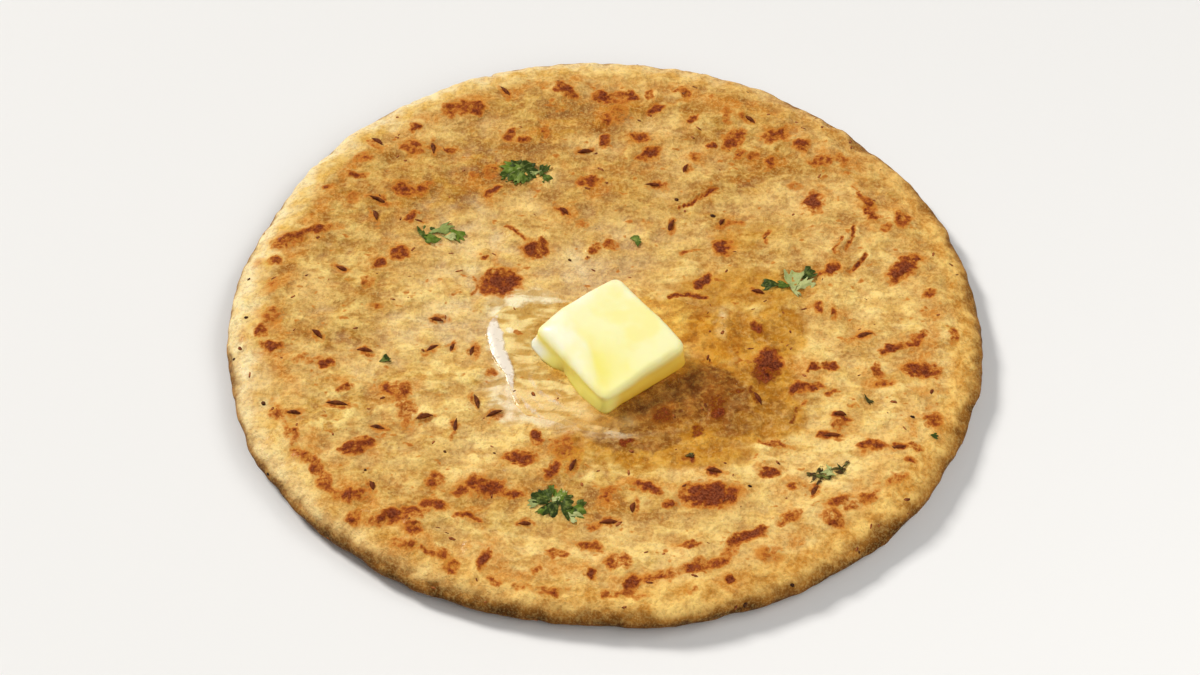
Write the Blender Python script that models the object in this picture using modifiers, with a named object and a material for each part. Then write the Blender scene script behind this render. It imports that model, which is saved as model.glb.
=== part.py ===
"""A stuffed paratha with a pat of butter on it, as two closed solids. Metres, +Z up.

The bread lies on z = 0 with its middle at the origin. It is a turned disc with a broad round rim, whose outline
and top are then made uneven by functions. The butter is a soft square slab that rests on the bread, off centre.
"""

import math

import bmesh
import bpy
from mathutils import Matrix, Vector, noise

# Bread
BREAD_RADIUS = 0.100
BREAD_THICKNESS = 0.0088
RIM_FALL = 0.011  # how far in from the edge the top starts to fall
RIM_EQUATOR = 0.0038  # height of the widest line of the rim
FOOT_INSET = 0.0055  # how far in from the edge the underside starts
DISH_DEPTH = 0.0006  # how much lower the middle is than the crown near the rim
DISH_RADIUS = 0.070
OUTLINE_WAVES = (  # waves round the edge, their height, and the direction of one crest in degrees
    (2, 0.0004, 11),
    (3, 0.0007, -27),
    (4, 0.0005, 27),
    (10, 0.0003, -6),
)
SEGMENTS = 100
TOP_RINGS = 23
RIM_STEPS = 5

# Lumps and hollows of the top, from the filling under the dough
LUMP_SIZE = 0.017
LUMP_HEIGHT = 0.0006
LUMP_SEED = Vector((3.1, 7.4, 0.6))

# Butter
PAT_CENTRE = Vector((0.0017, -0.0132, 0.0))
PAT_TURN = 39.0
PAT_SIDE = 0.0282
PAT_THICKNESS = 0.0074
PAT_FOOT_SPREAD = 0.0009  # how far the melting foot stands out beyond the walls
PAT_CORNER_PULL = 0.035  # how much of its reach a corner has lost by melting
PAT_SAG = 0.0005  # how much the softest corner has dropped
PAT_GAP = 0.0003
SEAT_RADIUS = 0.024  # the bread is even under the butter, and its lumps start outside this
SEAT_FADE = 0.010

MERGE_DISTANCE = 0.00001
SOFT_EDGE = 0.35  # crease of the butter's own edges
SHARP_EDGE = 1.0  # crease where the butter meets the bread


def clear_scene():
    for obj in list(bpy.data.objects):
        bpy.data.objects.remove(obj, do_unlink=True)


def new_collection(name):
    collection = bpy.data.collections.new(name)
    bpy.context.scene.collection.children.link(collection)
    return collection


def plain_material(name, colour, roughness, metallic=0.0):
    material = bpy.data.materials.new(name)
    material.use_nodes = True
    shader = material.node_tree.nodes["Principled BSDF"]
    shader.inputs["Base Color"].default_value = (*colour, 1.0)
    shader.inputs["Roughness"].default_value = roughness
    shader.inputs["Metallic"].default_value = metallic
    return material


def smooth_step(low, high, value):
    t = min(1.0, max(0.0, (value - low) / (high - low)))
    return t * t * (3.0 - 2.0 * t)


def bread_profile():
    """Half of the bread's section as (radius, height), from the middle of the top round the rim to the underside."""
    inner = BREAD_RADIUS - RIM_FALL
    drop = BREAD_THICKNESS - RIM_EQUATOR
    profile = [(inner * i / TOP_RINGS, BREAD_THICKNESS) for i in range(TOP_RINGS + 1)]
    for i in range(1, RIM_STEPS + 1):
        angle = math.radians(90 - 90 * i / RIM_STEPS)
        profile.append((inner + RIM_FALL * math.cos(angle), RIM_EQUATOR + drop * math.sin(angle)))
    for i in range(1, RIM_STEPS):
        angle = math.radians(90 * i / (RIM_STEPS - 1))
        radius = BREAD_RADIUS - FOOT_INSET + FOOT_INSET * math.cos(angle)
        profile.append((radius, RIM_EQUATOR * (1.0 - math.sin(angle))))
    profile.append((0.0, 0.0))
    return profile


def turned_mesh(name, profile):
    """The profile turned round Z by a Screw modifier, as a plain mesh."""
    outline = bpy.data.meshes.new(name)
    corners = [(radius, 0.0, height) for radius, height in profile]
    outline.from_pydata(corners, [(i, i + 1) for i in range(len(corners) - 1)], [])
    turner = bpy.data.objects.new(name, outline)
    bpy.context.scene.collection.objects.link(turner)
    screw = turner.modifiers.new("turn", "SCREW")
    screw.steps = SEGMENTS
    screw.render_steps = SEGMENTS
    screw.use_merge_vertices = True
    screw.merge_threshold = MERGE_DISTANCE
    depsgraph = bpy.context.evaluated_depsgraph_get()
    mesh = bpy.data.meshes.new_from_object(turner.evaluated_get(depsgraph))
    bpy.data.objects.remove(turner, do_unlink=True)
    bpy.data.meshes.remove(outline)
    return mesh


def outline_growth(angle):
    """How far the edge stands out from the mean radius at this angle round the bread."""
    return sum(height * math.cos(count * (angle - math.radians(crest))) for count, height, crest in OUTLINE_WAVES)


def top_relief(x, y):
    """Height of the lumps and hollows at a place on the top, with the dish, above the even surface."""
    place = Vector((x, y, 0.0)) / LUMP_SIZE + LUMP_SEED
    lumps = LUMP_HEIGHT * noise.fractal(place, 0.8, 2.1, 3)
    from_pat = math.hypot(x - PAT_CENTRE.x, y - PAT_CENTRE.y)
    lumps *= smooth_step(SEAT_RADIUS, SEAT_RADIUS + SEAT_FADE, from_pat)
    dish = -DISH_DEPTH * (1.0 - smooth_step(0.0, DISH_RADIUS, math.hypot(x, y)))
    return lumps + dish


def shape_bread(body):
    """Makes the outline uneven, and raises the top by its relief, which fades out down the rim."""
    for vert in body.verts:
        radius = vert.co.xy.length
        if radius > MERGE_DISTANCE:
            growth = outline_growth(math.atan2(vert.co.y, vert.co.x)) * (radius / BREAD_RADIUS) ** 3
            vert.co.xy *= (radius + growth) / radius
        share = smooth_step(RIM_EQUATOR, BREAD_THICKNESS, vert.co.z)
        vert.co.z += share * top_relief(vert.co.x, vert.co.y)


def centre_on_origin(body):
    """Moves the body so that the middle of its box is above the origin and its lowest point is on z = 0."""
    low = Vector(min(v.co[axis] for v in body.verts) for axis in range(3))
    high = Vector(max(v.co[axis] for v in body.verts) for axis in range(3))
    middle = (low + high) / 2
    bmesh.ops.translate(body, verts=body.verts, vec=(-middle.x, -middle.y, -low.z))


def make_bread(collection, material):
    mesh = turned_mesh("paratha", bread_profile())
    body = bmesh.new()
    body.from_mesh(mesh)
    bmesh.ops.remove_doubles(body, verts=body.verts, dist=MERGE_DISTANCE)
    shape_bread(body)
    centre_on_origin(body)
    body.to_mesh(mesh)
    body.free()
    mesh.materials.append(material)
    mesh.shade_smooth()
    bread = bpy.data.objects.new("paratha", mesh)
    collection.objects.link(bread)
    return bread


def seat_height(bread, reach):
    """The bread's highest point within this reach of the butter's middle."""
    near = [v.co for v in bread.data.vertices if (v.co.xy - PAT_CENTRE.xy).length < reach]
    return max(place.z for place in near)


def butter_cage():
    """A cube's cage with the butter's form: a spread foot, drawn-in corners, and one corner lower than the rest."""
    cage = bmesh.new()
    bmesh.ops.create_cube(cage, size=1.0)
    bmesh.ops.subdivide_edges(cage, edges=cage.edges[:], cuts=3, use_grid_fill=True)
    to_softest = Matrix.Rotation(math.radians(-PAT_TURN), 2) @ Vector((0.0, -1.0))
    for vert in cage.verts:
        up = vert.co.z + 0.5
        sides = vert.co.xy * 2
        reach = PAT_SIDE / 2 + PAT_FOOT_SPREAD * (1.0 - up) ** 2
        pull = 1.0 - PAT_CORNER_PULL * (sides.x * sides.y) ** 2
        dip = PAT_SAG * max(0.0, sides.dot(to_softest) / math.sqrt(2))
        vert.co.xy = sides * reach * pull
        vert.co.z = up * (PAT_THICKNESS - dip)
    return cage


def crease_butter(mesh):
    """Keeps the line where the butter meets the bread sharp, and its other edges soft."""
    creases = mesh.attributes.new("crease_edge", "FLOAT", "EDGE")
    for edge in mesh.edges:
        ends = [mesh.vertices[i].co for i in edge.vertices]
        low = all(end.z < MERGE_DISTANCE for end in ends)
        outer = all(max(abs(end.x), abs(end.y)) > PAT_SIDE / 2 for end in ends)
        creases.data[edge.index].value = SHARP_EDGE if low and outer else SOFT_EDGE


def make_butter(collection, material, bread):
    mesh = bpy.data.meshes.new("butter_pat")
    cage = butter_cage()
    cage.to_mesh(mesh)
    cage.free()
    crease_butter(mesh)
    mesh.materials.append(material)
    mesh.shade_smooth()
    butter = bpy.data.objects.new("butter_pat", mesh)
    collection.objects.link(butter)
    soften = butter.modifiers.new("soften", "SUBSURF")
    soften.levels = 2
    soften.render_levels = 2
    seat = seat_height(bread, PAT_SIDE / math.sqrt(2))
    butter.rotation_euler.z = math.radians(PAT_TURN)
    butter.location = PAT_CENTRE + Vector((0.0, 0.0, seat + PAT_GAP))
    return butter


def main():
    clear_scene()
    collection = new_collection("Paratha with butter")
    crust = plain_material("toasted_dough", (0.62, 0.40, 0.17), 0.55)
    fat = plain_material("butter", (0.90, 0.79, 0.40), 0.38)
    bread = make_bread(collection, crust)
    make_butter(collection, fat, bread)


main()
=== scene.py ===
import itertools
import math

import bmesh
import bpy
import numpy as np
from mathutils import Matrix, Vector
from mathutils.bvhtree import BVHTree


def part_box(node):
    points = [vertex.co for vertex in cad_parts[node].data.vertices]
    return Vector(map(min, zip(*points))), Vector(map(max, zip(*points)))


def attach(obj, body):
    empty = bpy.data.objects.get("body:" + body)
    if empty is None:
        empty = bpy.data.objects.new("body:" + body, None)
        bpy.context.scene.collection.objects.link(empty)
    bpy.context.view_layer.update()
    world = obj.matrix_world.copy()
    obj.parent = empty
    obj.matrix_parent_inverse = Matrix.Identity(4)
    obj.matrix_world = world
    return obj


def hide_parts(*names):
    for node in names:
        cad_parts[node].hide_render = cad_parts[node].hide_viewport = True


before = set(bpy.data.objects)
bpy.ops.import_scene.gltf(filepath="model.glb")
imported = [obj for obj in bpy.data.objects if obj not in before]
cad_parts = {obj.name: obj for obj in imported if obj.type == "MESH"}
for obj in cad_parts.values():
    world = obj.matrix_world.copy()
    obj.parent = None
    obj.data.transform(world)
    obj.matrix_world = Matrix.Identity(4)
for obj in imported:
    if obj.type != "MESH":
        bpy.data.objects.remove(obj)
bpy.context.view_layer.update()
mm = 0.001


def easeStep(low, high, value):
    share = np.clip((value - low) / (high - low), 0.0, 1.0)
    return share * share * (3.0 - 2.0 * share)


def hills(places, size, seed):
    # smooth random hills and hollows, from about -1 to 1, each about size across
    draw = np.random.default_rng(seed)
    shuffled = draw.permutation(256)
    slopes = draw.normal(size=(256, 3))
    slopes /= np.linalg.norm(slopes, axis=1)[:, None]
    cells = places / size
    low = np.floor(cells).astype(int)
    inside = cells - low
    ease = inside ** 3 * (inside * (inside * 6.0 - 15.0) + 10.0)
    total = np.zeros(len(places))
    for corner in itertools.product((0, 1), repeat=3):
        at = (low + corner) & 255
        pick = shuffled[(shuffled[(shuffled[at[:, 0]] + at[:, 1]) & 255] + at[:, 2]) & 255]
        weight = np.prod(np.where(np.array(corner) == 1, ease, 1.0 - ease), axis=1)
        total += weight * (slopes[pick] * (inside - corner)).sum(1)
    return total * 1.7


def spotField(flat, spots, soft=1.0):
    # how deep each place lies in the oval spots (x, y, length, width, turn, depth); soft widens their edges
    deepest = np.zeros(len(flat))
    for x, y, length, width, turn, depth in spots:
        near = np.hypot(flat[:, 0] - x, flat[:, 1] - y) < length + width
        dx, dy = flat[near, 0] - x, flat[near, 1] - y
        cosine, sine = math.cos(math.radians(turn)), math.sin(math.radians(turn))
        along, across = (dx * cosine + dy * sine) / length * 2, (dy * cosine - dx * sine) / width * 2
        fill = 1.0 - easeStep(1.0 - 0.55 * soft, 1.0 + 0.65 * soft, np.hypot(along, across))
        deepest[near] = np.maximum(deepest[near], depth * fill)
    return deepest


def trailDistance(flat, trail):
    # distance from each place to a trail of points, and how far to the trail's left side the place lies
    nearest = np.full(len(flat), 1e9)
    side = np.zeros(len(flat))
    for start, end in zip(trail, trail[1:]):
        start, way = np.array(start, float), np.subtract(end, start)
        share = np.clip(((flat - start) @ way) / (way @ way), 0.0, 1.0)
        off = flat - start - share[:, None] * way
        distance = np.hypot(off[:, 0], off[:, 1])
        closer = distance < nearest
        nearest = np.where(closer, distance, nearest)
        side = np.where(closer, (way[0] * off[:, 1] - way[1] * off[:, 0]) / np.hypot(*way), side)
    return nearest, side


def stitch(faces, first, firstCount, second, secondCount):
    # closes the band between two rings of vertices that both start at angle 0; a ring of one is a pole
    i, j = 0, 0
    iEnd = 0 if firstCount == 1 else firstCount
    jEnd = 0 if secondCount == 1 else secondCount
    while i < iEnd or j < jEnd:
        if j < jEnd and (i >= iEnd or (j + 1) * firstCount <= (i + 1) * secondCount):
            faces.append((first + i % firstCount, second + j, second + (j + 1) % secondCount))
            j += 1
        else:
            faces.append((first + i, second + j % secondCount, first + (i + 1) % firstCount))
            i += 1


def stitchAll(counts):
    faces, start = [], 0
    for count, following in zip(counts, counts[1:]):
        stitch(faces, start, count, start + count, following)
        start += count
    return faces


def meshPiece(name, places, faces, smooth=True):
    mesh = bpy.data.meshes.new(name)
    mesh.from_pydata((np.asarray(places) * mm).tolist(), [], faces)
    mesh.update()
    if smooth:
        mesh.shade_smooth()
    piece = bpy.data.objects.new(name, mesh)
    bpy.context.scene.collection.objects.link(piece)
    return piece


def storeNumbers(piece, **fields):
    for name, values in fields.items():
        layer = piece.data.attributes.new(name, "FLOAT", "POINT")
        layer.data.foreach_set("value", np.asarray(values, np.float32))


def handOver(piece, material):
    piece.data.materials.clear()
    piece.data.materials.append(material)
    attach(piece, "root")


class Number:
    # one number socket of a shader, so that its maths can be written as a sum
    def __init__(self, shader, socket):
        self.shader, self.socket = shader, socket

    def join(self, operation, *others):
        values = dict(enumerate((self, *others)))
        made = self.shader.node("ShaderNodeMath", {"operation": operation}, values)
        return Number(self.shader, made.outputs[0])

    def flipped(self, operation, other):
        values = {0: other, 1: self}
        made = self.shader.node("ShaderNodeMath", {"operation": operation}, values)
        return Number(self.shader, made.outputs[0])

    def __add__(self, other):
        return self.join("ADD", other)

    __radd__ = __add__

    def __sub__(self, other):
        return self.join("SUBTRACT", other)

    def __rsub__(self, other):
        return self.flipped("SUBTRACT", other)

    def __mul__(self, other):
        return self.join("MULTIPLY", other)

    __rmul__ = __mul__

    def step(self, low, high):
        # 0 below low, 1 above high, and an eased climb between them
        settings = {"interpolation_type": "SMOOTHSTEP"}
        values = {"Value": self, "From Min": low, "From Max": high}
        return Number(self.shader, self.shader.node("ShaderNodeMapRange", settings, values).outputs[0])

    def clamp(self):
        return self.join("MINIMUM", 1.0).join("MAXIMUM", 0.0)


class Shader:
    def __init__(self, name):
        self.material = bpy.data.materials.new(name)
        self.material.use_nodes = True
        self.tree = self.material.node_tree
        self.tree.nodes.clear()
        self.places = self.node("ShaderNodeTexCoord").outputs["Object"]

    def node(self, kind, settings=None, values=None):
        made = self.tree.nodes.new(kind)
        for name, value in (settings or {}).items():
            setattr(made, name, value)
        for name, value in (values or {}).items():
            if isinstance(value, Number):
                value = value.socket
            if isinstance(value, bpy.types.NodeSocket):
                self.tree.links.new(value, made.inputs[name])
            else:
                made.inputs[name].default_value = value
        return made

    def field(self, name):
        return Number(self, self.node("ShaderNodeAttribute", {"attribute_name": name}).outputs["Fac"])

    def noise(self, size, detail=2.0, rough=0.5, shift=0.0, stretch=(1, 1, 1), warp=0.0):
        # noise whose patches are about size millimetres across, from about 0.2 to 0.8
        scale = tuple(1.0 / (size * mm * part) for part in stretch)
        moved = self.node("ShaderNodeMapping", None,
                          {"Vector": self.places, "Location": (shift, shift * 0.7, 0.0), "Scale": scale})
        values = {"Vector": moved.outputs[0], "Scale": 1.0, "Detail": detail, "Roughness": rough,
                  "Distortion": warp}
        return Number(self, self.node("ShaderNodeTexNoise", None, values).outputs["Fac"])

    def blend(self, share, under, over, mode="MIX"):
        mix = self.node("ShaderNodeMix", {"data_type": "RGBA", "blend_type": mode},
                        {0: share, 6: under, 7: over})
        return mix.outputs[2]

    def bump(self, height, distance, strength=1.0, normal=None):
        values = {"Height": height, "Distance": distance * mm, "Strength": strength}
        if normal is not None:
            values["Normal"] = normal
        return self.node("ShaderNodeBump", None, values).outputs[0]

    def principled(self, values):
        return self.node("ShaderNodeBsdfPrincipled", None, values).outputs[0]

    def finish(self, surface):
        self.node("ShaderNodeOutputMaterial", None, {"Surface": surface})
        return self.material


def paint(red, green, blue):
    # a colour as a screen shows it, 0 to 255, in the linear light that shaders work in
    parts = [part / 255.0 for part in (red, green, blue)]
    return (*(part / 12.92 if part <= 0.04045 else ((part + 0.055) / 1.055) ** 2.4 for part in parts), 1.0)


bread = {
    "radius": 100.0,
    "thickness": 8.8,
    "rimFall": 11.0,          # how far in from the edge the top starts to fall
    "rimMiddle": 3.8,         # height of the widest line of the rim
    "footInset": 5.5,         # how far in from the edge the underside starts
    "dishDepth": 0.6,
    "dishRadius": 70.0,
    "laidShift": (-0.1, -1.4),   # moves all that is toasted, soaked or laid on the top
    "edgeWaves": ((2, 0.4, 11), (3, 0.7, -27), (4, 0.5, 27), (10, 0.3, -6)),  # waves, height, turn of a crest
    # turn, depth and width of each nick in the edge
    "edgeNicks": ((110.6, 1.0, 0.9), (125.6, 0.8, 1.4), (161.0, 0.35, 2.0), (83.0, 0.3, 1.5)),
    "bendSeed": 40,           # the noise that makes the toasted spots ragged
    "topRings": 124,
    "rimRings": 20,
    "footRings": 11,
    "underRings": 62,
}

# toasted patches: x, y, length, width, turn, and depth from 0.3, golden, to 1, nearly black
toastedMarks = (
    (-43.5, 77, 8, 6, 10, 0.62), (-38, 77.5, 5, 4.5, 80, 0.85), (-12.7, 85.3, 8, 4.5, -50, 0.75),
    (-2, 84, 5, 5, 0, 0.8), (3, 83.5, 9, 5, 0, 0.5), (5.7, 84.5, 5, 2.6, -50, 0.9),
    (2, 76, 6, 9, 0, 0.35), (-0.7, 74.7, 2.6, 5, 0, 0.75), (-54, 69.3, 2.6, 2.4, 0, 0.8),
    (-2, 66.7, 3, 5, -10, 0.75), (-55, 62, 7, 5, 0, 0.62), (-44.7, 60.3, 3, 2.5, 0, 0.65),
    (-27.7, 67.3, 4, 4.5, 0, 0.62), (-24, 65, 3, 2.4, 0, 0.62), (-17.9, 68.3, 2, 4.5, 0, 0.58),
    (-6, 49.3, 7, 4, 25, 0.7), (-69.3, 56, 7, 4, 0, 0.42), (-70, 49.7, 6, 2.6, 0, 0.62),
    (-77.3, 44.7, 3.4, 3, 0, 0.6), (-56.5, 45.3, 5, 6, 30, 0.65), (-51.5, 45.5, 6, 4, 40, 0.6),
    (-37.3, 51, 2.5, 3.5, 0, 0.6), (-32.7, 53, 4, 6, 0, 0.48), (-31.7, 45.3, 5, 2.5, 50, 0.85),
    (-70.7, 41.5, 4, 4, 0, 0.4), (-53.7, 34.7, 5, 3, 60, 0.65), (-79.5, 28.4, 7, 3, 18, 0.7),
    (-87, 24.5, 7, 4, 50, 0.55), (-86, 26.5, 4, 2.4, 10, 0.75), (-90, 17, 3.6, 3, 0, 0.7),
    (-89.5, 9, 4, 6, 0, 0.4), (-56.3, 21.7, 4.6, 4.4, 0, 0.8), (-60.7, 17.3, 3.4, 3, 0, 0.7),
    (-33, 20.7, 2.6, 1.5, 20, 0.6), (-19.3, 24.3, 6.5, 6, 0, 0.85), (-27.7, 11.3, 9.5, 8.6, 20, 1.0),
    (-12, 38, 4.5, 2.4, -50, 0.75), (-6.7, 34.7, 4.5, 3.5, 0, 0.35), (1.3, 26.3, 4.5, 3.6, 0, 0.7),
    (-3, 26, 3, 3, 0, 0.65), (-64.7, 9.3, 3, 4, 0, 0.4), (-60.7, 2, 3, 2, 0, 0.6),
    (10.7, 84.3, 4.5, 2.4, 70, 0.6), (12.7, 79.7, 5.5, 2.2, 25, 0.85), (19, 86.7, 3.6, 2, 0, 0.6),
    (22, 85.3, 2.6, 2.5, 0, 0.65), (23.3, 74.7, 4.4, 1.6, 10, 0.7), (32.7, 77.3, 2.6, 7, 0, 0.45),
    (34.7, 68.7, 8.5, 4.6, 55, 0.7), (46, 69.3, 9, 5, 10, 0.6), (48.5, 72, 5, 2, 60, 0.7),
    (53, 66, 4.6, 4.4, 0, 0.8), (29, 64.7, 2.6, 2.3, 0, 0.9), (8.7, 67, 5, 4.5, -30, 0.75),
    (10.7, 60.7, 7.5, 3.6, 35, 0.8), (23.3, 61.7, 3, 4, 0, 0.5), (36, 61.3, 2, 4.5, -20, 0.6),
    (40.7, 62, 3.6, 2.6, -20, 0.65), (44.7, 58.7, 4.8, 3, 65, 0.75), (59.3, 60, 7, 3, 15, 0.6),
    (66, 60.3, 4, 4, 0, 0.55), (55.7, 45.3, 6.4, 5.2, 65, 0.9), (57, 40.3, 3, 4, 0, 0.4),
    (51.7, 50.7, 4, 3, 0, 0.35), (31, 27.3, 5.6, 5.2, 0, 0.95), (34.7, 36, 4.5, 2, 0, 0.5),
    (72, 43, 3.6, 9, 15, 0.45), (72.7, 38.7, 3.4, 3, 0, 0.5), (80.7, 38.7, 4, 6, 10, 0.65),
    (76.4, 35, 3, 4, 0, 0.5), (80.7, 21.3, 11.5, 5, 50, 0.9), (60.3, 17.7, 6.5, 2.8, 45, 0.9),
    (26, 13.3, 5.6, 3, 60, 0.95), (87, 11.3, 4, 2, 40, 0.6), (56.7, 6, 2.8, 3.2, 0, 0.6),
    (61, 2.7, 1.8, 2.8, 0, 0.8), (-88.7, -2.5, 6, 6, 0, 0.45), (-91, -8, 2.6, 5, 0, 0.65),
    (-86.7, -13, 7.4, 2.4, 0, 0.75), (-72.7, -19.3, 4.2, 2.4, 10, 0.8), (-78, -17.5, 8, 3, 10, 0.35),
    (-29.3, -20.3, 4.4, 3, 0, 0.5), (-67, -26.7, 4.4, 3, 0, 0.7), (-56.5, -27.7, 4.4, 2.6, -20, 0.8),
    (-52.3, -29, 5, 7, 0, 0.6), (-51, -35, 5, 12, 5, 0.4), (-63, -47.3, 9.5, 4.4, 25, 0.6),
    (-60, -45.5, 3.4, 3, 0, 0.8), (-65, -48.6, 4, 2, 10, 0.8), (-42, -57.3, 5, 5, 0, 0.6),
    (-36, -60.3, 4.4, 3.4, 0, 0.75), (-28.8, -59.4, 10, 6, -10, 0.85), (-22.4, -60.6, 5, 3, -10, 0.75),
    (-21, -50.3, 7.4, 4, 0, 0.95), (-16.7, -42, 3, 4.2, 20, 0.8), (-12, -52.7, 7, 3.6, 62, 0.85),
    (-9.3, -44, 8, 8, 0, 0.38), (-51.4, -69.6, 12, 4.6, 14, 0.8), (-41.7, -65.7, 6.4, 5, 20, 0.65),
    (-61.3, -69.3, 4, 5, 0, 0.65), (-46, -73.3, 4, 4.4, 0, 0.55), (-63, -62.2, 7.5, 3.8, 0, 0.62),
    (-28, -80.7, 6.6, 3, 75, 0.75), (-32.7, -68.3, 7.4, 2.4, -12, 0.6), (-50, -77, 5, 4, 0, 0.4),
    (-36, -83.3, 4.2, 2.4, -30, 0.65), (-26, -88, 4, 2, -20, 0.5), (-10, -79.3, 6.4, 2, -5, 0.55),
    (-16, -85, 2.6, 1.5, 0, 0.6), (-2, -86, 2.2, 3, 0, 0.85), (-3, -76.5, 7.4, 3, -5, 0.6),
    (-2, -70.7, 3.4, 3, 0, 0.6), (1, -60.7, 7, 3.6, 50, 0.75), (4, -82, 6.4, 4.4, 10, 0.7),
    (40.7, -2.7, 2.8, 4.6, 0, 0.75), (43.7, -15.3, 10.5, 6.6, 80, 1.0), (55, -16, 3.8, 2, 25, 0.9),
    (59, -16.3, 3.4, 2, -10, 0.9), (50.7, -24, 5.4, 3, 0, 0.8), (55.3, -22.7, 4.8, 3.4, 20, 0.9),
    (60, -24, 4.2, 1.6, 20, 0.85), (35.3, -25, 3.2, 1.6, 0, 0.7), (28, -28, 6.5, 5, 0, 0.5),
    (30, -32.7, 3.8, 5, 0, 0.65), (14.7, -33.5, 5, 5, 0, 0.5), (25, -39.3, 2.6, 3.2, 0, 0.75),
    (6, -42.7, 3.6, 2.4, 0, 0.75), (28.7, -52, 4.2, 2, 0, 0.9), (42.3, -51, 4.4, 2.4, 5, 0.95),
    (22.7, -47.7, 3.4, 2, -40, 0.6), (27.3, -60, 13.5, 7.4, 8, 1.0), (10.7, -57, 7.4, 3, -25, 0.75),
    (17.7, -63.3, 3.4, 2.5, 30, 0.7), (23, -76, 5.8, 2.2, -5, 0.6), (32.3, -86, 2.6, 1.8, -30, 0.8),
    (48, -66, 7.4, 3.4, 35, 0.55), (58.7, -66.7, 6.4, 4, -30, 0.55), (60, -61, 8.4, 3.4, 5, 0.6),
    (66.7, -59.5, 4.4, 3, 0, 0.5), (42.7, -78, 8, 5, 0, 0.35), (48, -55.7, 3.4, 2, -30, 0.65),
    (70, -42.7, 6.4, 3, 5, 0.9), (76.3, -42.7, 3, 2.4, 0, 0.9), (80.3, -41.7, 2.6, 2, 0, 0.6),
    (78, -47, 3.4, 1.4, 0, 0.65), (61.3, -32.7, 3.2, 1.6, 0, 0.85), (61, -35, 5.4, 4, 0, 0.42),
    (58, -38.7, 5.8, 1.4, 5, 0.75), (85.7, -33.3, 5, 6.4, 0, 0.65), (83.3, -16, 10.4, 5, 0, 0.8),
    (70.7, -16.7, 3, 4.2, 0, 0.65), (72.7, -21.3, 4.8, 3.6, 0, 0.7), (75.4, -8.7, 4.4, 3, 20, 0.95),
    (79, -7.9, 4.4, 2.2, 15, 0.7), (82.7, -5, 6.4, 3, 55, 0.8), (92.3, -4.7, 5.4, 2.4, 75, 0.65),
    (68.3, -4.7, 6.4, 1.4, 12, 0.7), (64.7, -29.3, 2.6, 2, 0, 0.5),
)

# toasted streaks along the edge of the griddled top: points, width, depth
toastedTrails = (
    (((40, -70.5), (35, -73), (31.5, -77.5), (30, -81), (24, -83), (16, -85), (10, -87), (8, -89)),
     3.4, 0.72),
    (((77, -52), (72, -56), (68, -59)), 2.4, 0.5),
    (((-73, 30), (-79, 28.6), (-85, 26.5), (-89, 22.5)), 3.2, 0.5),
    (((-85.5, -31), (-84.5, -36), (-81, -42), (-78, -49), (-73, -53.5), (-70.5, -59),
      (-66.5, -61.6)), 3.2, 0.55),
    (((-48, -78.5), (-43, -79.6), (-38, -81)), 2.6, 0.58),
    (((-20, -89.4), (-14, -90.3), (-7, -89.6)), 2.4, 0.58),
    (((1, -91.6), (7, -91.2), (12, -91.4)), 1.8, 0.5),
    (((20, -89.6), (24, -88.9)), 1.6, 0.5),
    (((84, -28), (86.5, -24), (89, -22)), 1.8, 0.45),
    (((39.5, -41.3), (44, -42), (49, -43.2)), 2.2, 0.72),
)

# thin folds in the skin, each with a brown line in it: points, and how brown
folds = (
    (((-28, 32.5), (-24.7, 30.3), (-22.5, 27)), 0.62),
    (((19.5, 41.3), (22.5, 43), (26, 46), (29.5, 49)), 0.85),
    (((67.6, 36), (66.8, 31.5), (65, 27)), 0.7),
    (((64, 31), (62.7, 28), (61.5, 25)), 0.6),
    (((65, 18.5), (67.6, 20.6), (70, 24.4)), 0.75),
    (((67.6, 51), (69, 47), (71.4, 43.4), (70.6, 40)), 0.6),
    (((17, 7.6), (19.5, 9), (23, 8.9), (27, 8.2)), 0.75),
    (((44.2, 33.5), (43, 31), (43.4, 28)), 0.5),
    (((20, 24), (24, 25)), 0.5),
    (((-9, 61), (-5, 62)), 0.55),
    (((-36, 7), (-34, 11), (-36, 14)), 0.4),
    (((52, -28), (50, -31), (49, -35)), 0.4),
)

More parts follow.
